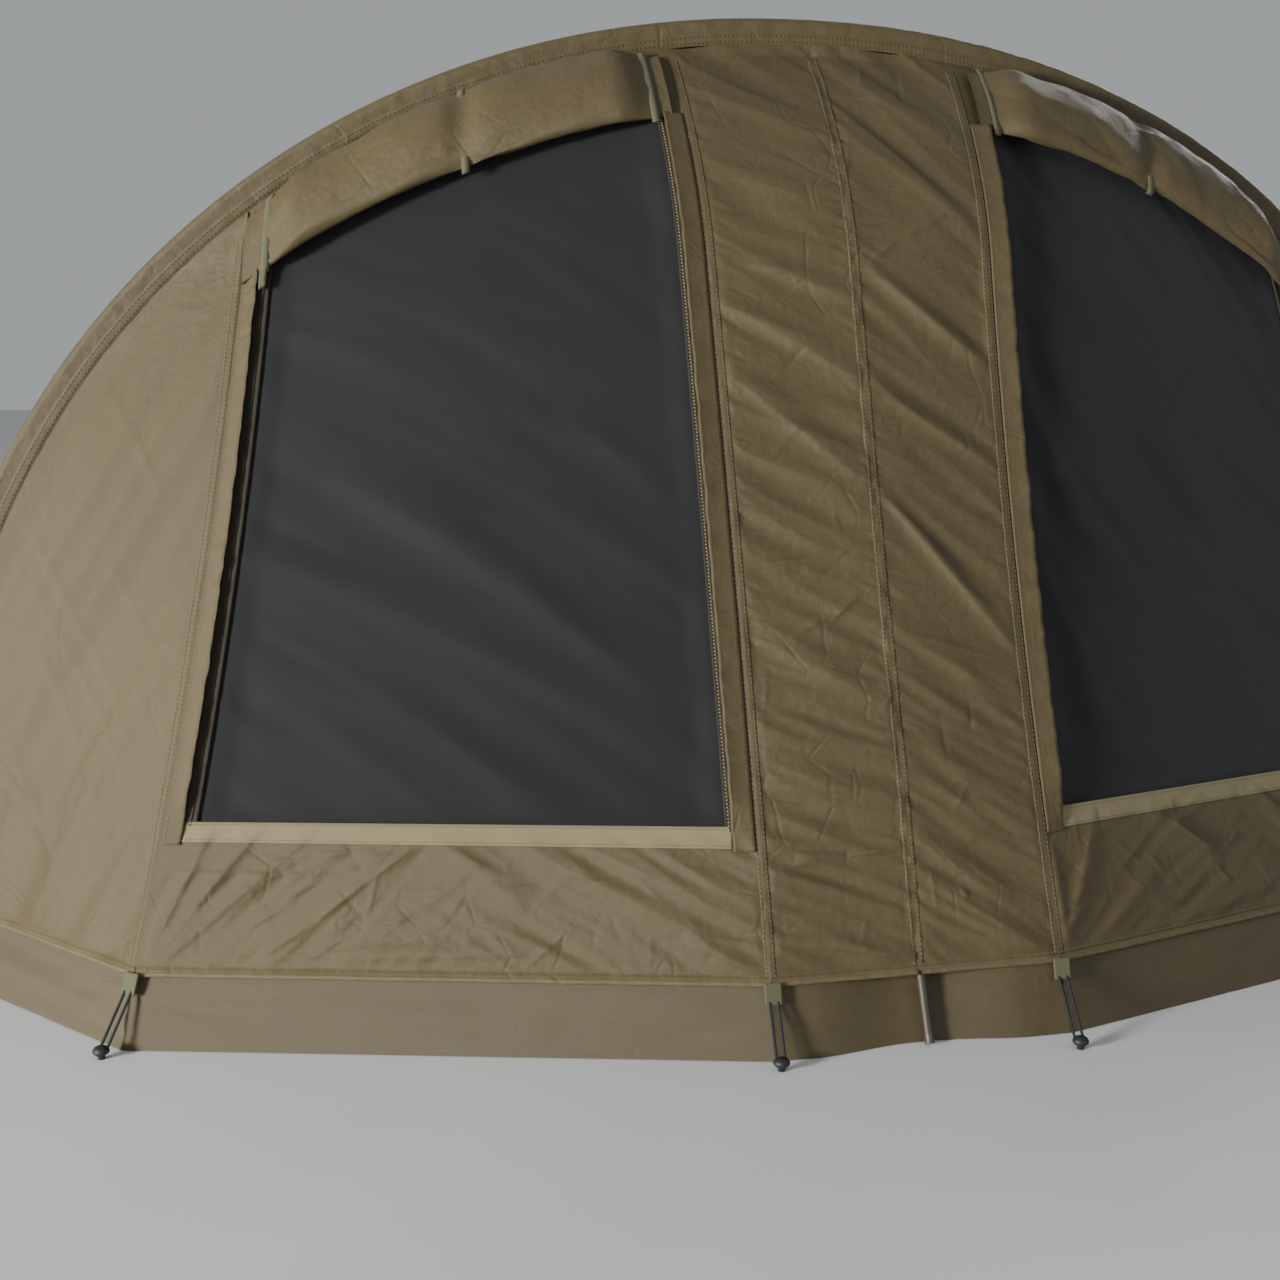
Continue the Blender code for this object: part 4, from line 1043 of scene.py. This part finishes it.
def over_roll(side, along, turns, lift, half_width):
    """A narrow strip over the roll at a share of the window's width, standing lift off it."""
    across = np.array([along - half_width, along, along + half_width])[None, :] + 0 * turns[:, None]
    fat = roll_fatness(along)
    middle, half = (ROLL_LOW + ROLL_HIGH) / 2, (ROLL_LOW - ROLL_HIGH) / 2 + lift
    turn = np.radians(turns)[:, None]
    down = middle - half * np.cos(turn) * (0.82 + 0.18 * fat)
    up = 1 - (1 - LEVEL_PART) * down / column_length(across)
    flat = panel_point(across, up)
    out = -facing(flat).mean(axis=(0, 1))
    away = 0.5 * ROLL_DEPTH * fat * 0.90 * (1 + np.sin(turn)) + lift
    away = np.where((turns > 200)[:, None], 0.004, away)
    grid = (flat + out * away[..., None])[::-1]
    return grid if side == "left" else mirrored(grid)


for side in ("left", "right"):
    for number, along in enumerate(TIES, 1):
        grid = over_roll(side, along, np.linspace(-8, 192, 60), 0.0045, 0.0085)
        piece = skin(f"{side}_roll_tie_{number}", grid, webbing, thickness=0.0012)

LOOP_TOP = 1.150
LOOP_LOW = 1.108
h = np.linspace(LOOP_TOP, LOOP_LOW, 16)
hang = np.concatenate([h, h[::-1]])
lift = np.concatenate([np.full(16, 0.0165), np.full(16, 0.0105)])
lift[12:20] = (0.0160, 0.0155, 0.0150, 0.0140, 0.0128, 0.0120, 0.0112, 0.0108)
up = np.broadcast_to(up_at(hang)[:, None], (32, 5))
across = (0.0475 + 0.0062 * np.linspace(-1, 1, 5)[None, :]) / row_length(up)
flat = panel_point(across, up)
out = facing(panel_point(across[:16][::-1], up[:16][::-1])).mean(axis=(0, 1))
loop = flat + out * lift[:, None, None]
piece = skin("left_tie_loop", loop, webbing, thickness=0.0013)


# The front rib runs in a sleeve: the shell cloth wraps round the tube and is stitched down along
# the rib's seam.

RIB_RISE = 0.036
RIB_BACK = 0.012
SLEEVE_RADIUS = 0.0115


def arch_outwards(sizes, angles):
    """The direction square to an arch, in its own plane, away from its middle."""
    half, height, _, lean = sizes
    c, s = np.cos(angles), np.maximum(np.sin(angles), 0)
    power = 2 - 2 / ARCH_POWER
    h = s**power / height
    return unit(np.stack([-np.sign(c) * np.abs(c) ** power / half, -lean * h, h], axis=-1))


def sleeve_point(angles, turn):
    """Points round the front rib: turn 0 is its front, 90 its outer side, 180 its back."""
    out = arch_outwards(RIB_SEAM, angles)
    back = unit(np.array([0, 1, RIB_SEAM[3]]))
    centre = arch(RIB_SEAM, angles) + out * RIB_RISE + back * RIB_BACK
    t = math.radians(turn)
    points = centre + SLEEVE_RADIUS * (out * math.sin(t) - back * math.cos(t))
    points[..., 2] = np.maximum(points[..., 2], 0)
    return points


angles = np.linspace(0, math.pi, 640)
round_part = [sleeve_point(angles, turn) for turn in np.linspace(96, 0, 10)]
seam = arch(RIB_SEAM, angles)
web = [round_part[-1] + (seam - round_part[-1]) * share for share in np.linspace(0, 1, 8)[1:]]
smooth = np.stack([*round_part, *web], axis=1)
run = run_along(seam)[:, None]
place = np.linspace(0, 1, smooth.shape[1])[None, :]
pucker = 0.0020 * noise(run / 0.030, place * 2.5, 101) * np.sin(place * math.pi)
fine = 0.0012 * noise(run / 0.012, place * 3, 102)
pucker = pucker + fine * edge(place - 0.55, 0.3) * edge(1 - place, 0.1)
sleeve = smooth + facing(smooth) * pucker[..., None]
piece = skin("front_sleeve_cloth", sleeve, shell_cloth, ("front_rib_sleeve",))

lift = np.array([0.0001, 0.0014, 0.0016, 0.0013, 0.0003])[None, :, None]
band = sleeve[:, 12:17] + facing(sleeve)[:, 12:17] * lift
skin("front_rib_seam_band", band, shell_cloth)
stitch_rows("front_rib_seam", seam_lines(band, (1, 3)), 0.0085)


# The roof is two bands of shell cloth stretched over the ribs, from the sleeve to the middle rib
# and from there to the rear rib.

MIDDLE_ARCH = (1.69, 1.69, 1.56, 0.01)
REAR_ARCH = (1.50, 1.36, 2.25, 0.10)
ROOF_SAG = 0.012


def roof_points(rear, front, steps):
    """Rows of points from one line to another, sagging a little between them."""
    share = np.linspace(0, 1, steps + 1)[None, :, None]
    flat = rear[:, None] * (1 - share) + front[:, None] * share
    over = np.sqrt(np.maximum(np.sin(np.linspace(0, math.pi, len(rear))), 0))[:, None, None]
    return flat - facing(flat) * ROOF_SAG * over * 4 * share * (1 - share)


def roof_folds(grid, seed):
    """Long folds from rib to rib, and packing creases."""
    s = run_along(grid[:, 0])[:, None]
    crown = grid[len(grid) // 2]
    t = np.linspace(0, np.linalg.norm(crown[-1] - crown[0]), grid.shape[1])[None, :] + 0 * s
    held = edge(t, 0.05) * edge(t[:, -1:] - t, 0.05)
    soft = 0.0075 * streaks(s, t, 82, 0.16, 0.9, seed) + 0.0035 * streaks(s, t, 98, 0.07, 0.5, seed + 1)
    fine = creases(s, t, 150, (0.1, 0.02, 4.6, 0.9), 0.0016, seed + 2)
    return (soft + fine) * held


roofs = []
angles = np.linspace(0, math.pi, 260)
middle_line, rear_line = arch(MIDDLE_ARCH, angles), arch(REAR_ARCH, angles)
for name, rear, front, seed in (
    ("roof_front", middle_line, sleeve_point(angles, 96), 111),
    ("roof_rear", rear_line, middle_line, 121),
):
    smooth = roof_points(rear, front, 52)
    grid = smooth + facing(smooth) * roof_folds(smooth, seed)[..., None]
    piece = skin(f"{name}_cloth", grid, shell_cloth, (name,))
    rests = ("front_rib", "middle_rib") if name == "roof_front" else ("middle_rib", "rear_rib")
    roofs.append(grid)

# The two are joined over the middle rib by a felled seam.
FELLED_REACH = np.array([0.0130, 0.0124, 0.0060])[None, :, None]
FELLED_LIFT = np.array([0.0001, 0.0016, 0.0022, 0.0024, 0.0022, 0.0016, 0.0001])[None, :, None]


def felled(crest, first, second):
    """A band over a seam, raised along its crest, that reaches out in both directions."""
    reach = FELLED_REACH
    band = np.concatenate([crest + first * reach, crest, crest + second * reach[:, ::-1]], axis=1)
    return band + facing(band) * FELLED_LIFT


def sew_felled(name, band):
    """Puts a felled band in the scene, with its two rows of stitches."""
    skin(f"{name}_band", band, shell_cloth)
    size = (0.0060, 0.0013, 0.0015)
    sew(f"{name}_stitches", seam_lines(band, (2, 4)), 0.0100, size, dark_thread_and_dimple_shade)


front, rear = roofs
crest = front[:, :1]
sew_felled("middle_rib_seam", felled(crest, unit(rear[:, -3:-2] - crest), unit(front[:, 2:3] - crest)))


# The rear wall is three plain panels of shell cloth, a middle and two sides. They hang from the rear
# rib to the hem.

REAR_CORNER = (0.80, 2.85)
REAR_SEAM_TOP_X = 0.62
rear_top = float(arch_height(REAR_ARCH, REAR_SEAM_TOP_X))
rear_low = np.array([REAR_CORNER[0], REAR_CORNER[1], 0])
rear_high = np.array([REAR_SEAM_TOP_X, REAR_ARCH[2] - REAR_ARCH[3] * rear_top, rear_top])


def rear_seam(share):
    """The seam between the rear wall's middle and its right side, from the hem up."""
    return rear_low + (rear_high - rear_low) * share[..., None]


def rear_side_point(across, h):
    """The rear wall's right side: across from the rib to the seam, at height h."""
    x, depth = arch_at(REAR_ARCH, h)
    rib = np.stack([x, depth, h], axis=-1)
    return rib + (rear_seam(h / rear_top) - rib) * across[..., None]


def rear_centre_point(across, up):
    """The rear wall's middle: across from 1 on the right to -1 on the left, up from 0 to 1."""
    seam = rear_seam(up)
    sideways = np.stack([across, np.ones_like(across), np.ones_like(across)], axis=-1)
    h = arch_height(REAR_ARCH, REAR_SEAM_TOP_X * across)
    top = np.stack([REAR_SEAM_TOP_X * across, REAR_ARCH[2] - REAR_ARCH[3] * h, h], axis=-1)
    return seam * sideways + (top - rear_high * sideways) * up[..., None] ** 1.5


across, up = np.meshgrid(np.linspace(1, -1, 100), np.linspace(0, 1, 90))
smooth = rear_centre_point(across, up)
x, h = smooth[..., 0], up * 1.5
inside = edge(1 - np.abs(across), 0.05) * edge(h, 0.04) * edge(1.5 - h, 0.04)
soft = 0.008 * streaks(x, h, 70, 0.15, 0.8, 131) + 0.004 * streaks(x, h, 110, 0.08, 0.4, 132)
soft = soft + creases(x, h, 90, (-0.75, 0.02, 0.75, 1.4), 0.0016, 133)
grid = smooth + facing(smooth) * (soft * inside)[..., None]
piece = skin("rear_wall_middle_cloth", grid, shell_cloth, ("rear_wall_centre",))

across, h = np.meshgrid(np.linspace(0, 1, 60), np.linspace(0, 0.999 * rear_top, 80))
smooth = rear_side_point(across, h)
s = across * np.linalg.norm(smooth[:, -1] - smooth[:, 0], axis=1)[:, None]
inside = edge(across, 0.06) * edge(1 - across, 0.06) * edge(h, 0.04)
soft = 0.007 * streaks(s, h, 60, 0.13, 0.7, 141) + creases(s, h, 60, (0.02, 0.02, 0.9, 1.2), 0.0015, 142)
grid = smooth + facing(smooth) * (soft * inside)[..., None]
for side, points in (("right", grid), ("left", mirrored(grid))):
    piece = skin(f"rear_wall_{side}_cloth", points, shell_cloth, (f"rear_wall_{side}",))

# Felled seams join the rear wall's three parts, and join them to the roof over the rear rib.
share = np.linspace(0.004, 0.985, 90)
seam = rear_seam(share)
x, depth = arch_at(REAR_ARCH, share * rear_top)
to_rib = unit(np.stack([x, depth, share * rear_top], axis=-1) - seam)[:, None]
inwards = np.array([-1.0, 0, 0])[None, None, :]
band = felled(seam[:, None], to_rib, inwards)
sew_felled("rear_right_seam", band)
sew_felled("rear_left_seam", mirrored(band))

x = rear_line[:, 0]
ones = np.ones_like(x)
low_end = rear_low * np.stack([x / REAR_SEAM_TOP_X, ones, ones], axis=1)
across_wall = rear_seam(rear_line[:, 2] / rear_top) * np.stack([np.sign(x), ones, ones], axis=1)
over_middle = (np.abs(x) < REAR_SEAM_TOP_X)[:, None]
wall = unit(np.where(over_middle, low_end, across_wall) - rear_line)[:, None]
crest = rear_line[:, None]
sew_felled("rear_rib_seam", felled(crest, wall, unit(rear[:, 2:3] - crest)))


# The hem is the shell's lower edge, finished as a narrow roll of slightly lighter cloth. At the front
# a row of upright stitches goes over it, and elsewhere a plain row holds it.
hem_cloth = cloth_finish("hem_cloth", (0.112, 0.088, 0.038), (0.096, 0.075, 0.032))
HEM_SHAPE = (  # height over the hem's line and distance outwards
    (0.0005, -0.0020),
    (-0.0016, -0.0006),
    (-0.0030, 0.0012),
    (-0.0024, 0.0030),
    (0.0000, 0.0040),
    (0.0032, 0.0038),
    (0.0052, 0.0028),
    (0.0062, 0.0014),
    (0.0150, 0.0011),
    (0.0160, 0.0000),
)


def hem_line(name, panel, upright):
    """A rolled edge along a panel's lowest row; the next row gives the direction up the panel."""
    bottom = panel[0]
    rise = unit(panel[1] - bottom)
    out = unit(np.cross(np.gradient(bottom, axis=0), rise))
    run = run_along(bottom)
    fuller = 1 + 0.35 * noise(run / 0.013, run / 0.4, 181)[:, None]
    sway = 0.0008 * noise(run / 0.05, run / 0.9, 182)[:, None]
    grid = np.array([bottom + rise * (h + sway) + out * lift * fuller for h, lift in HEM_SHAPE])
    skin(f"{name}_hem", grid, hem_cloth)
    line = [(grid[7] * 0.35 + grid[8] * 0.65, out)]
    if upright:
        size, pitch, tilt = (0.0064, 0.0012, 0.0012), 0.0046, 90
    else:
        size, pitch, tilt = (0.0050, 0.0012, 0.0012), 0.0090, 0
    sew(f"{name}_hem_stitches", line, pitch, size, dark_thread_and_dimple_shade, tilt)


def both_sides(name, grid, upright):
    hem_line(f"left_{name}", grid, upright)
    hem_line(f"right_{name}", mirrored(grid), upright)


rows = up_at(np.array([0.0, 0.015]))
share = np.linspace(0.001, 0.999, 240)
for side in ("left", "right"):
    hem_line(f"{side}_window", window_surface(side, *np.meshgrid(share, rows)), True)
    hem_line(f"{side}_centre", centre_surface(side, *np.meshgrid(share[::4], rows)), True)
h = np.array([[0.0], [0.015]])
s = gusset_width(h) * np.linspace(1, 0, 140)
both_sides("gusset", gusset_surface(s, np.broadcast_to(h, s.shape)), True)
both_sides("front_roof", front[:2], False)
both_sides("rear_roof", rear[:2], False)
across, h = np.meshgrid(np.linspace(0, 1, 60), np.array([0.0, 0.02]))
both_sides("rear_side", mirrored(rear_side_point(across, h)), False)
across, up = np.meshgrid(np.linspace(1, -1, 160), np.array([0.0, 0.02]))
hem_line("rear_middle", rear_centre_point(across, up), False)


# The mud skirt is a strip of heavier, smoother cloth all round, from the hem to the ground. It is
# set back under the hem.

SKIRT_OUT = 0.040
SKIRT_TOP = 0.0040
SKIRT_BACK = 0.0060
GROUND = 0.0015 - HEM[2]
skirt_cloth = cloth_finish("skirt_cloth", (0.078, 0.060, 0.0265), (0.064, 0.049, 0.021), 0.50, 0.04, 0.4)


def hem_corners():
    """The hem's corners seen from above, from the front's middle by the left side to the rear."""
    foot = np.zeros(1)
    fin_front, fin_side = [sleeve_point(foot, turn)[0][:2] for turn in (0, 90)]
    return {
        "middle": np.array([0, 0.0]),
        "inner": inner_seam(np.float64(0))[:2],
        "outer": outer_seam(np.float64(0))[:2],
        "rib": arch(RIB_SEAM, foot)[0][:2],
        "front_rib": np.array([fin_side[0], fin_front[1]]),
        "middle_rib": arch(MIDDLE_ARCH, foot)[0][:2],
        "rear_rib": arch(REAR_ARCH, foot)[0][:2],
        "rear": np.array([-REAR_CORNER[0], REAR_CORNER[1]]),
        "rear_middle": np.array([0, REAR_CORNER[1]]),
    }


def outwards_at(corners, i):
    """The mitred direction out of a corner, for an offset of 1."""
    here = corners[i]
    before = corners[i - 1] if i else here + (here - corners[1])
    after = corners[i + 1] if i + 1 < len(corners) else here + (here - corners[-2])
    out = [np.array([-d[1], d[0]]) for d in (unit(here - before), unit(after - here))]
    both = out[0] + out[1]
    return both / max(0.3, both @ out[0])


def skirt_points(names, spacing=0.008, rows=16):
    """A strip from the ground up to the hem, along the named corners."""
    corners = hem_corners()
    keys, line = list(corners), list(corners.values())
    places, outs = [], []
    for a, b in zip(names, names[1:]):
        i, j = keys.index(a), keys.index(b)
        count = max(2, round(np.linalg.norm(line[j] - line[i]) / spacing))
        share = np.linspace(0, 1, count, endpoint=b == names[-1])[:, None]
        places.append(line[i] * (1 - share) + line[j] * share)
        outs.append(outwards_at(line, i) * (1 - share) + outwards_at(line, j) * share)
    place, out = np.concatenate(places)[::-1], np.concatenate(outs)[::-1]
    grid = []
    for up in np.linspace(0, 1, rows):
        z = np.full((len(place), 1), GROUND * (1 - up) + SKIRT_TOP * up)
        outwards = SKIRT_OUT * (1 - up) - SKIRT_BACK * up
        grid.append(np.concatenate([place + out * outwards, z], axis=1))
    return np.array(grid)


def skirt_waves(grid, seed):
    """Long level waves, more at the ground than at the hem."""
    s = run_along(grid[0])[None, :]
    up = np.linspace(0, 1, len(grid))[:, None]
    z = up * -GROUND
    wave = 0.0040 * noise(s / 0.28 + z * 4, z / 0.035, seed)
    wave = wave + 0.0018 * noise(s / 0.09, z / 0.018, seed + 1)
    return wave * edge(1 - up, 0.3) * (0.35 + 0.65 * edge(up, 0.2))


for name, names in (
    ("front", ("inner", "outer")),
    ("side", ("outer", "rib", "front_rib", "middle_rib", "rear_rib")),
):
    smooth = skirt_points(names)
    for side in ("left", "right"):
        seed = 151 + len(name) + (side == "right")
        grid = smooth + facing(smooth) * skirt_waves(smooth, seed)[..., None]
        grid = grid if side == "left" else mirrored(grid)
        node = f"skirt_front_{side}" if name == "front" else f"skirt_{side}"
        piece = skin(f"{node}_cloth", grid, skirt_cloth, (node,))

half = skirt_points(("rear_rib", "rear", "rear_middle"))
smooth = np.concatenate([mirrored(half)[:, :-1], half], axis=1)
grid = smooth + facing(smooth) * skirt_waves(smooth, 161)[..., None]
piece = skin("skirt_rear_cloth", grid, skirt_cloth, ("skirt_rear",))

MIDDLE_HALF = 0.2609  # half the strip's length at the hem
CORNER = 0.2615  # how far the hem's corners are from the middle
FLARE = 0.14  # how much further each end goes aside, for each metre outwards
POLE_CREASE = 0.0235  # how far the skirt is drawn in behind the pole
x = np.linspace(-MIDDLE_HALF, MIDDLE_HALF, 80)
crease = POLE_CREASE * edge(0.19 - np.abs(x), 0.17)
grid = []
for up in np.linspace(0, 1, 18):
    depth = -SKIRT_OUT * (1 - up) + SKIRT_BACK * up
    reach = 1 - depth * FLARE / CORNER
    z = np.full_like(x, GROUND * (1 - up) + SKIRT_TOP * up)
    grid.append(np.stack([x * reach, depth + crease, z], axis=1))
smooth = np.array(grid)
grid = smooth + facing(smooth) * skirt_waves(smooth, 171)[..., None]
piece = skin("skirt_front_centre_cloth", grid, skirt_cloth, ("skirt_front_centre",))


# The pole stands on the ground in front of the skirt and runs up behind the middle seam. It is a
# 16 mm tube with a satin grey-brown coating and a plain end.


def round_bar(name, path, radius, finish, nodes=(), sides=16, closed=False):
    """A round bar along a path, with its ends closed unless it is a ring."""
    path = np.asarray(path, float)
    if closed:
        ahead = unit(np.roll(path, -1, axis=0) - np.roll(path, 1, axis=0))
    else:
        ahead = unit(np.gradient(path, axis=0))
    first = np.array([0, 0, 1.0]) if abs(ahead[0][2]) < 0.9 else np.array([0, 1.0, 0])
    rings, side = [], unit(np.cross(ahead[0], first))
    turns = np.linspace(0, 2 * math.pi, sides, endpoint=False)
    for point, d in zip(path, ahead):
        side = unit(side - d * (side @ d))
        other = np.cross(d, side)
        ring = point + radius * (np.outer(np.cos(turns), side) + np.outer(np.sin(turns), other))
        rings.append(ring)
    places = np.concatenate(rings) + HEM
    faces = []
    count = len(path)
    for i in range(count if closed else count - 1):
        k = (i + 1) % count
        for j in range(sides):
            m = (j + 1) % sides
            faces.append((i * sides + j, i * sides + m, k * sides + m, k * sides + j))
    if not closed:
        faces.append(tuple(range(sides))[::-1])
        faces.append(tuple(range((count - 1) * sides, count * sides)))
    mesh = bpy.data.meshes.new(name)
    mesh.from_pydata(places.tolist(), [], faces)
    piece = piece_of(name, mesh, finish, nodes)
    mesh.set_sharp_from_angle(angle=math.radians(50))
    return piece


pole_coating = tube_finish("pole_coating", (0.060, 0.050, 0.036), (0.115, 0.100, 0.078), 0.46)
up = np.linspace(0, 0.97, 60)
ridge_line = centre_point(np.ones_like(up), up)
inwards = unit(np.array([0, 1, -0.382]))
path = ridge_line + inwards * 0.012
foot = path[0] - np.array([0, 0.382, 1]) * (HEM[2] + path[0][2] - 0.003)
path = np.concatenate([[foot, foot * 0.5 + path[0] * 0.5], path])
path[:, 0] += 0.010 * np.clip(1 - (path[:, 2] + HEM[2]) / (0.3 + HEM[2]), 0, 1)
round_bar("pole", path, 0.008, pole_coating, ("centre_pole",), 24)


# Each peg point is a folded webbing loop sewn to the hem, a ring of elastic cord stretched from it,
# and the moulded head of the peg that the cord hooks on to.

PEGS = {  # where each peg stands
    "front_outer_left": (-1.335, 0.235),
    "front_inner_left": (-0.268, -0.074),
    "front_inner_right": (0.249, -0.105),
    "front_outer_right": (1.335, 0.235),
    "rear_outer_left": (-1.545, 2.33),
    "rear_inner_left": (-0.83, 2.955),
    "rear_inner_right": (0.83, 2.955),
    "rear_outer_right": (1.545, 2.33),
}
PEG_HEAD = (  # radius and height of the head's outline, from its neck up over the dome
    (0.0060, 0.000),
    (0.0060, 0.009),
    (0.0125, 0.010),
    (0.0140, 0.0125),
    (0.0135, 0.0160),
    (0.0110, 0.0195),
    (0.0070, 0.0218),
    (0.0030, 0.0226),
)
WEBBING_HALF = 0.0145
CORD_RADIUS = 0.0025


def rubber_finish(name, colour, rough, ribs):
    """Moulded plastic or braided elastic, with a fine surface grain."""
    made, shader, start = begin(name, Specular_IOR_Level=0.4)
    place = start.node("TexCoord", output=3)
    grain = place.noise(700, 3)
    shader.inputs["Base Color"].default_value = opaque(colour)
    feed(shader, Roughness=place.noise(60, 3) * 0.2 + rough)
    braid = (place.part(0) * ribs).wave() * (place.part(2) * ribs).wave()
    settings = {"Strength": 0.5, "Distance": 0.0004, "Height": grain + braid}
    feed(shader, Normal=start.node("Bump", {}, settings))
    return made


elastic = rubber_finish("elastic", (0.012, 0.013, 0.017), 0.65, 2400)
moulding = rubber_finish("moulding", (0.014, 0.014, 0.015), 0.42, 0)


def peg_point(name, corner, peg):
    """The webbing loop at a corner of the hem, the stretched cord, and the head of its peg."""
    corner = np.array([*corner, 0.0])
    foot = np.array([*peg, -HEM[2]])
    ahead = unit((foot - corner) * np.array([1, 1, 0]))
    across = np.array([-ahead[1], ahead[0], 0])
    down = unit(ahead * 0.45 + np.array([0, 0, -1]))
    high = corner + ahead * 0.0046 + np.array([0, 0, 0.006])
    low = corner + ahead * 0.0046 + down * 0.028
    face = unit(np.cross(across, down))
    loop = [high + (low - high) * t + face * 0.0016 for t in np.linspace(0, 1, 9)]
    for turn in np.linspace(0, math.pi, 9)[1:-1]:
        loop.append(low + face * 0.0016 * math.cos(turn) + down * 0.0016 * math.sin(turn) * 1.5)
    loop += [low + (high - low) * t - face * 0.0016 for t in np.linspace(0, 1, 9)]
    loop = np.array(loop)[:, None] + across * (np.linspace(-1, 1, 12) * WEBBING_HALF)[None, :, None]
    node = f"peg_point_{name}"
    piece = skin(f"{name}_webbing", loop, webbing, (node,), thickness=0.0013)
    grip = 0.0072
    turn_height = np.array([0, 0, 0.0085])
    path = []
    for degrees in np.linspace(-90, 90, 9):
        t = math.radians(degrees)
        path.append(foot + turn_height + (ahead * math.cos(t) + across * math.sin(t)) * grip)
    top = []
    for degrees in np.linspace(90, 270, 9):
        t = math.radians(degrees)
        top.append(low - down * 0.003 + ahead * 0.004 * math.cos(t) + across * 0.007 * math.sin(t))
    for t in np.linspace(0, 1, 12)[1:-1]:
        path.append(path[8] * (1 - t) + top[0] * t)
    path += top
    for t in np.linspace(0, 1, 12)[1:-1]:
        path.append(top[-1] * (1 - t) + path[0] * t)
    round_bar(f"{name}_elastic", path, CORD_RADIUS, elastic, (), 10, closed=True)
    turns = np.linspace(0, 2 * math.pi, 33)
    rings = []
    for radius, height in (*PEG_HEAD, (0.0002, 0.0228)):
        ring = np.stack([np.cos(turns) * radius, np.sin(turns) * radius, np.full(33, height)], axis=1)
        rings.append(foot + ring)
    skin(f"{name}_head", np.array(rings), moulding, (node,))


corners = hem_corners()
for name, peg in PEGS.items():
    if name.startswith("front"):
        corner = corners["outer" if "outer" in name else "inner"]
    else:
        corner = corners["rear_rib" if "outer" in name else "rear"]
    side = 1 if name.endswith("right") else -1
    peg_point(name, (abs(corner[0]) * side, corner[1]), peg)


# The stage is a pale floor under soft studio light: a large lamp from the left, a weaker one from
# the right and an even sky. The camera stands where the photograph was taken.

floor = bpy.data.objects.new("floor", bpy.data.meshes.new("floor"))
floor.data.from_pydata([(-30, -30, 0), (30, -30, 0), (30, 30, 0), (-30, 30, 0)], [], [(0, 1, 2, 3)])
bpy.context.scene.collection.objects.link(floor)
floor_finish, floor_shader, start = begin("floor_finish")
speckle = start.node("TexCoord", output=3).noise(3, 3)
feed(floor_shader, Base_Color=speckle.blend(opaque((0.60, 0.60, 0.59)), opaque((0.66, 0.66, 0.65))))
feed(floor_shader, Roughness=speckle * 0.1 + 0.75)
floor.data.materials.append(floor_finish)


def lamp(name, place, aim, size, power):
    """A soft square lamp at place that points at aim."""
    light = bpy.data.lights.new(name, "AREA")
    light.size = size
    light.energy = power
    made = bpy.data.objects.new(name, light)
    made.location = place
    made.rotation_mode = "QUATERNION"
    made.rotation_quaternion = (Vector(aim) - Vector(place)).to_track_quat("-Z", "Y")
    bpy.context.scene.collection.objects.link(made)


lamp("key", (-7.4, -4.5, 1.5), (-0.4, -1.2, 0.8), 1.3, 1340)
lamp("fill", (4.5, -6.5, 3.5), (0, -0.8, 0.7), 4.0, 70)
lamp("back", (5.5, 5.0, 4.5), (0, 0.4, 0.7), 4.0, 520)
world = bpy.data.worlds.new("sky")
bpy.context.scene.world = world
world.use_nodes = True
sky = world.node_tree.nodes["Background"]
sky.inputs["Color"].default_value = (0.92, 0.96, 1.0, 1)
sky.inputs["Strength"].default_value = 0.40

CAMERA_PLACE = (-1.1748, -4.0624, 1.1505)
CAMERA_YAW = 0.254
CAMERA_PITCH = 0.1629
CAMERA_ROLL = 0.0064
CAMERA_LENS = 49.683
ahead = Vector((
    math.sin(CAMERA_YAW) * math.cos(CAMERA_PITCH),
    math.cos(CAMERA_YAW) * math.cos(CAMERA_PITCH),
    -math.sin(CAMERA_PITCH),
))
level = Vector((math.cos(CAMERA_YAW), -math.sin(CAMERA_YAW), 0))
upright = level.cross(ahead)
right = level * math.cos(CAMERA_ROLL) + upright * math.sin(CAMERA_ROLL)
above = upright * math.cos(CAMERA_ROLL) - level * math.sin(CAMERA_ROLL)
camera = bpy.data.objects.new("camera", bpy.data.cameras.new("camera"))
camera.data.lens = CAMERA_LENS
camera.data.clip_end = 100
placed = Matrix((right, above, -ahead)).transposed().to_4x4()
placed.translation = CAMERA_PLACE
camera.matrix_world = placed
bpy.context.scene.collection.objects.link(camera)
bpy.context.scene.camera = camera
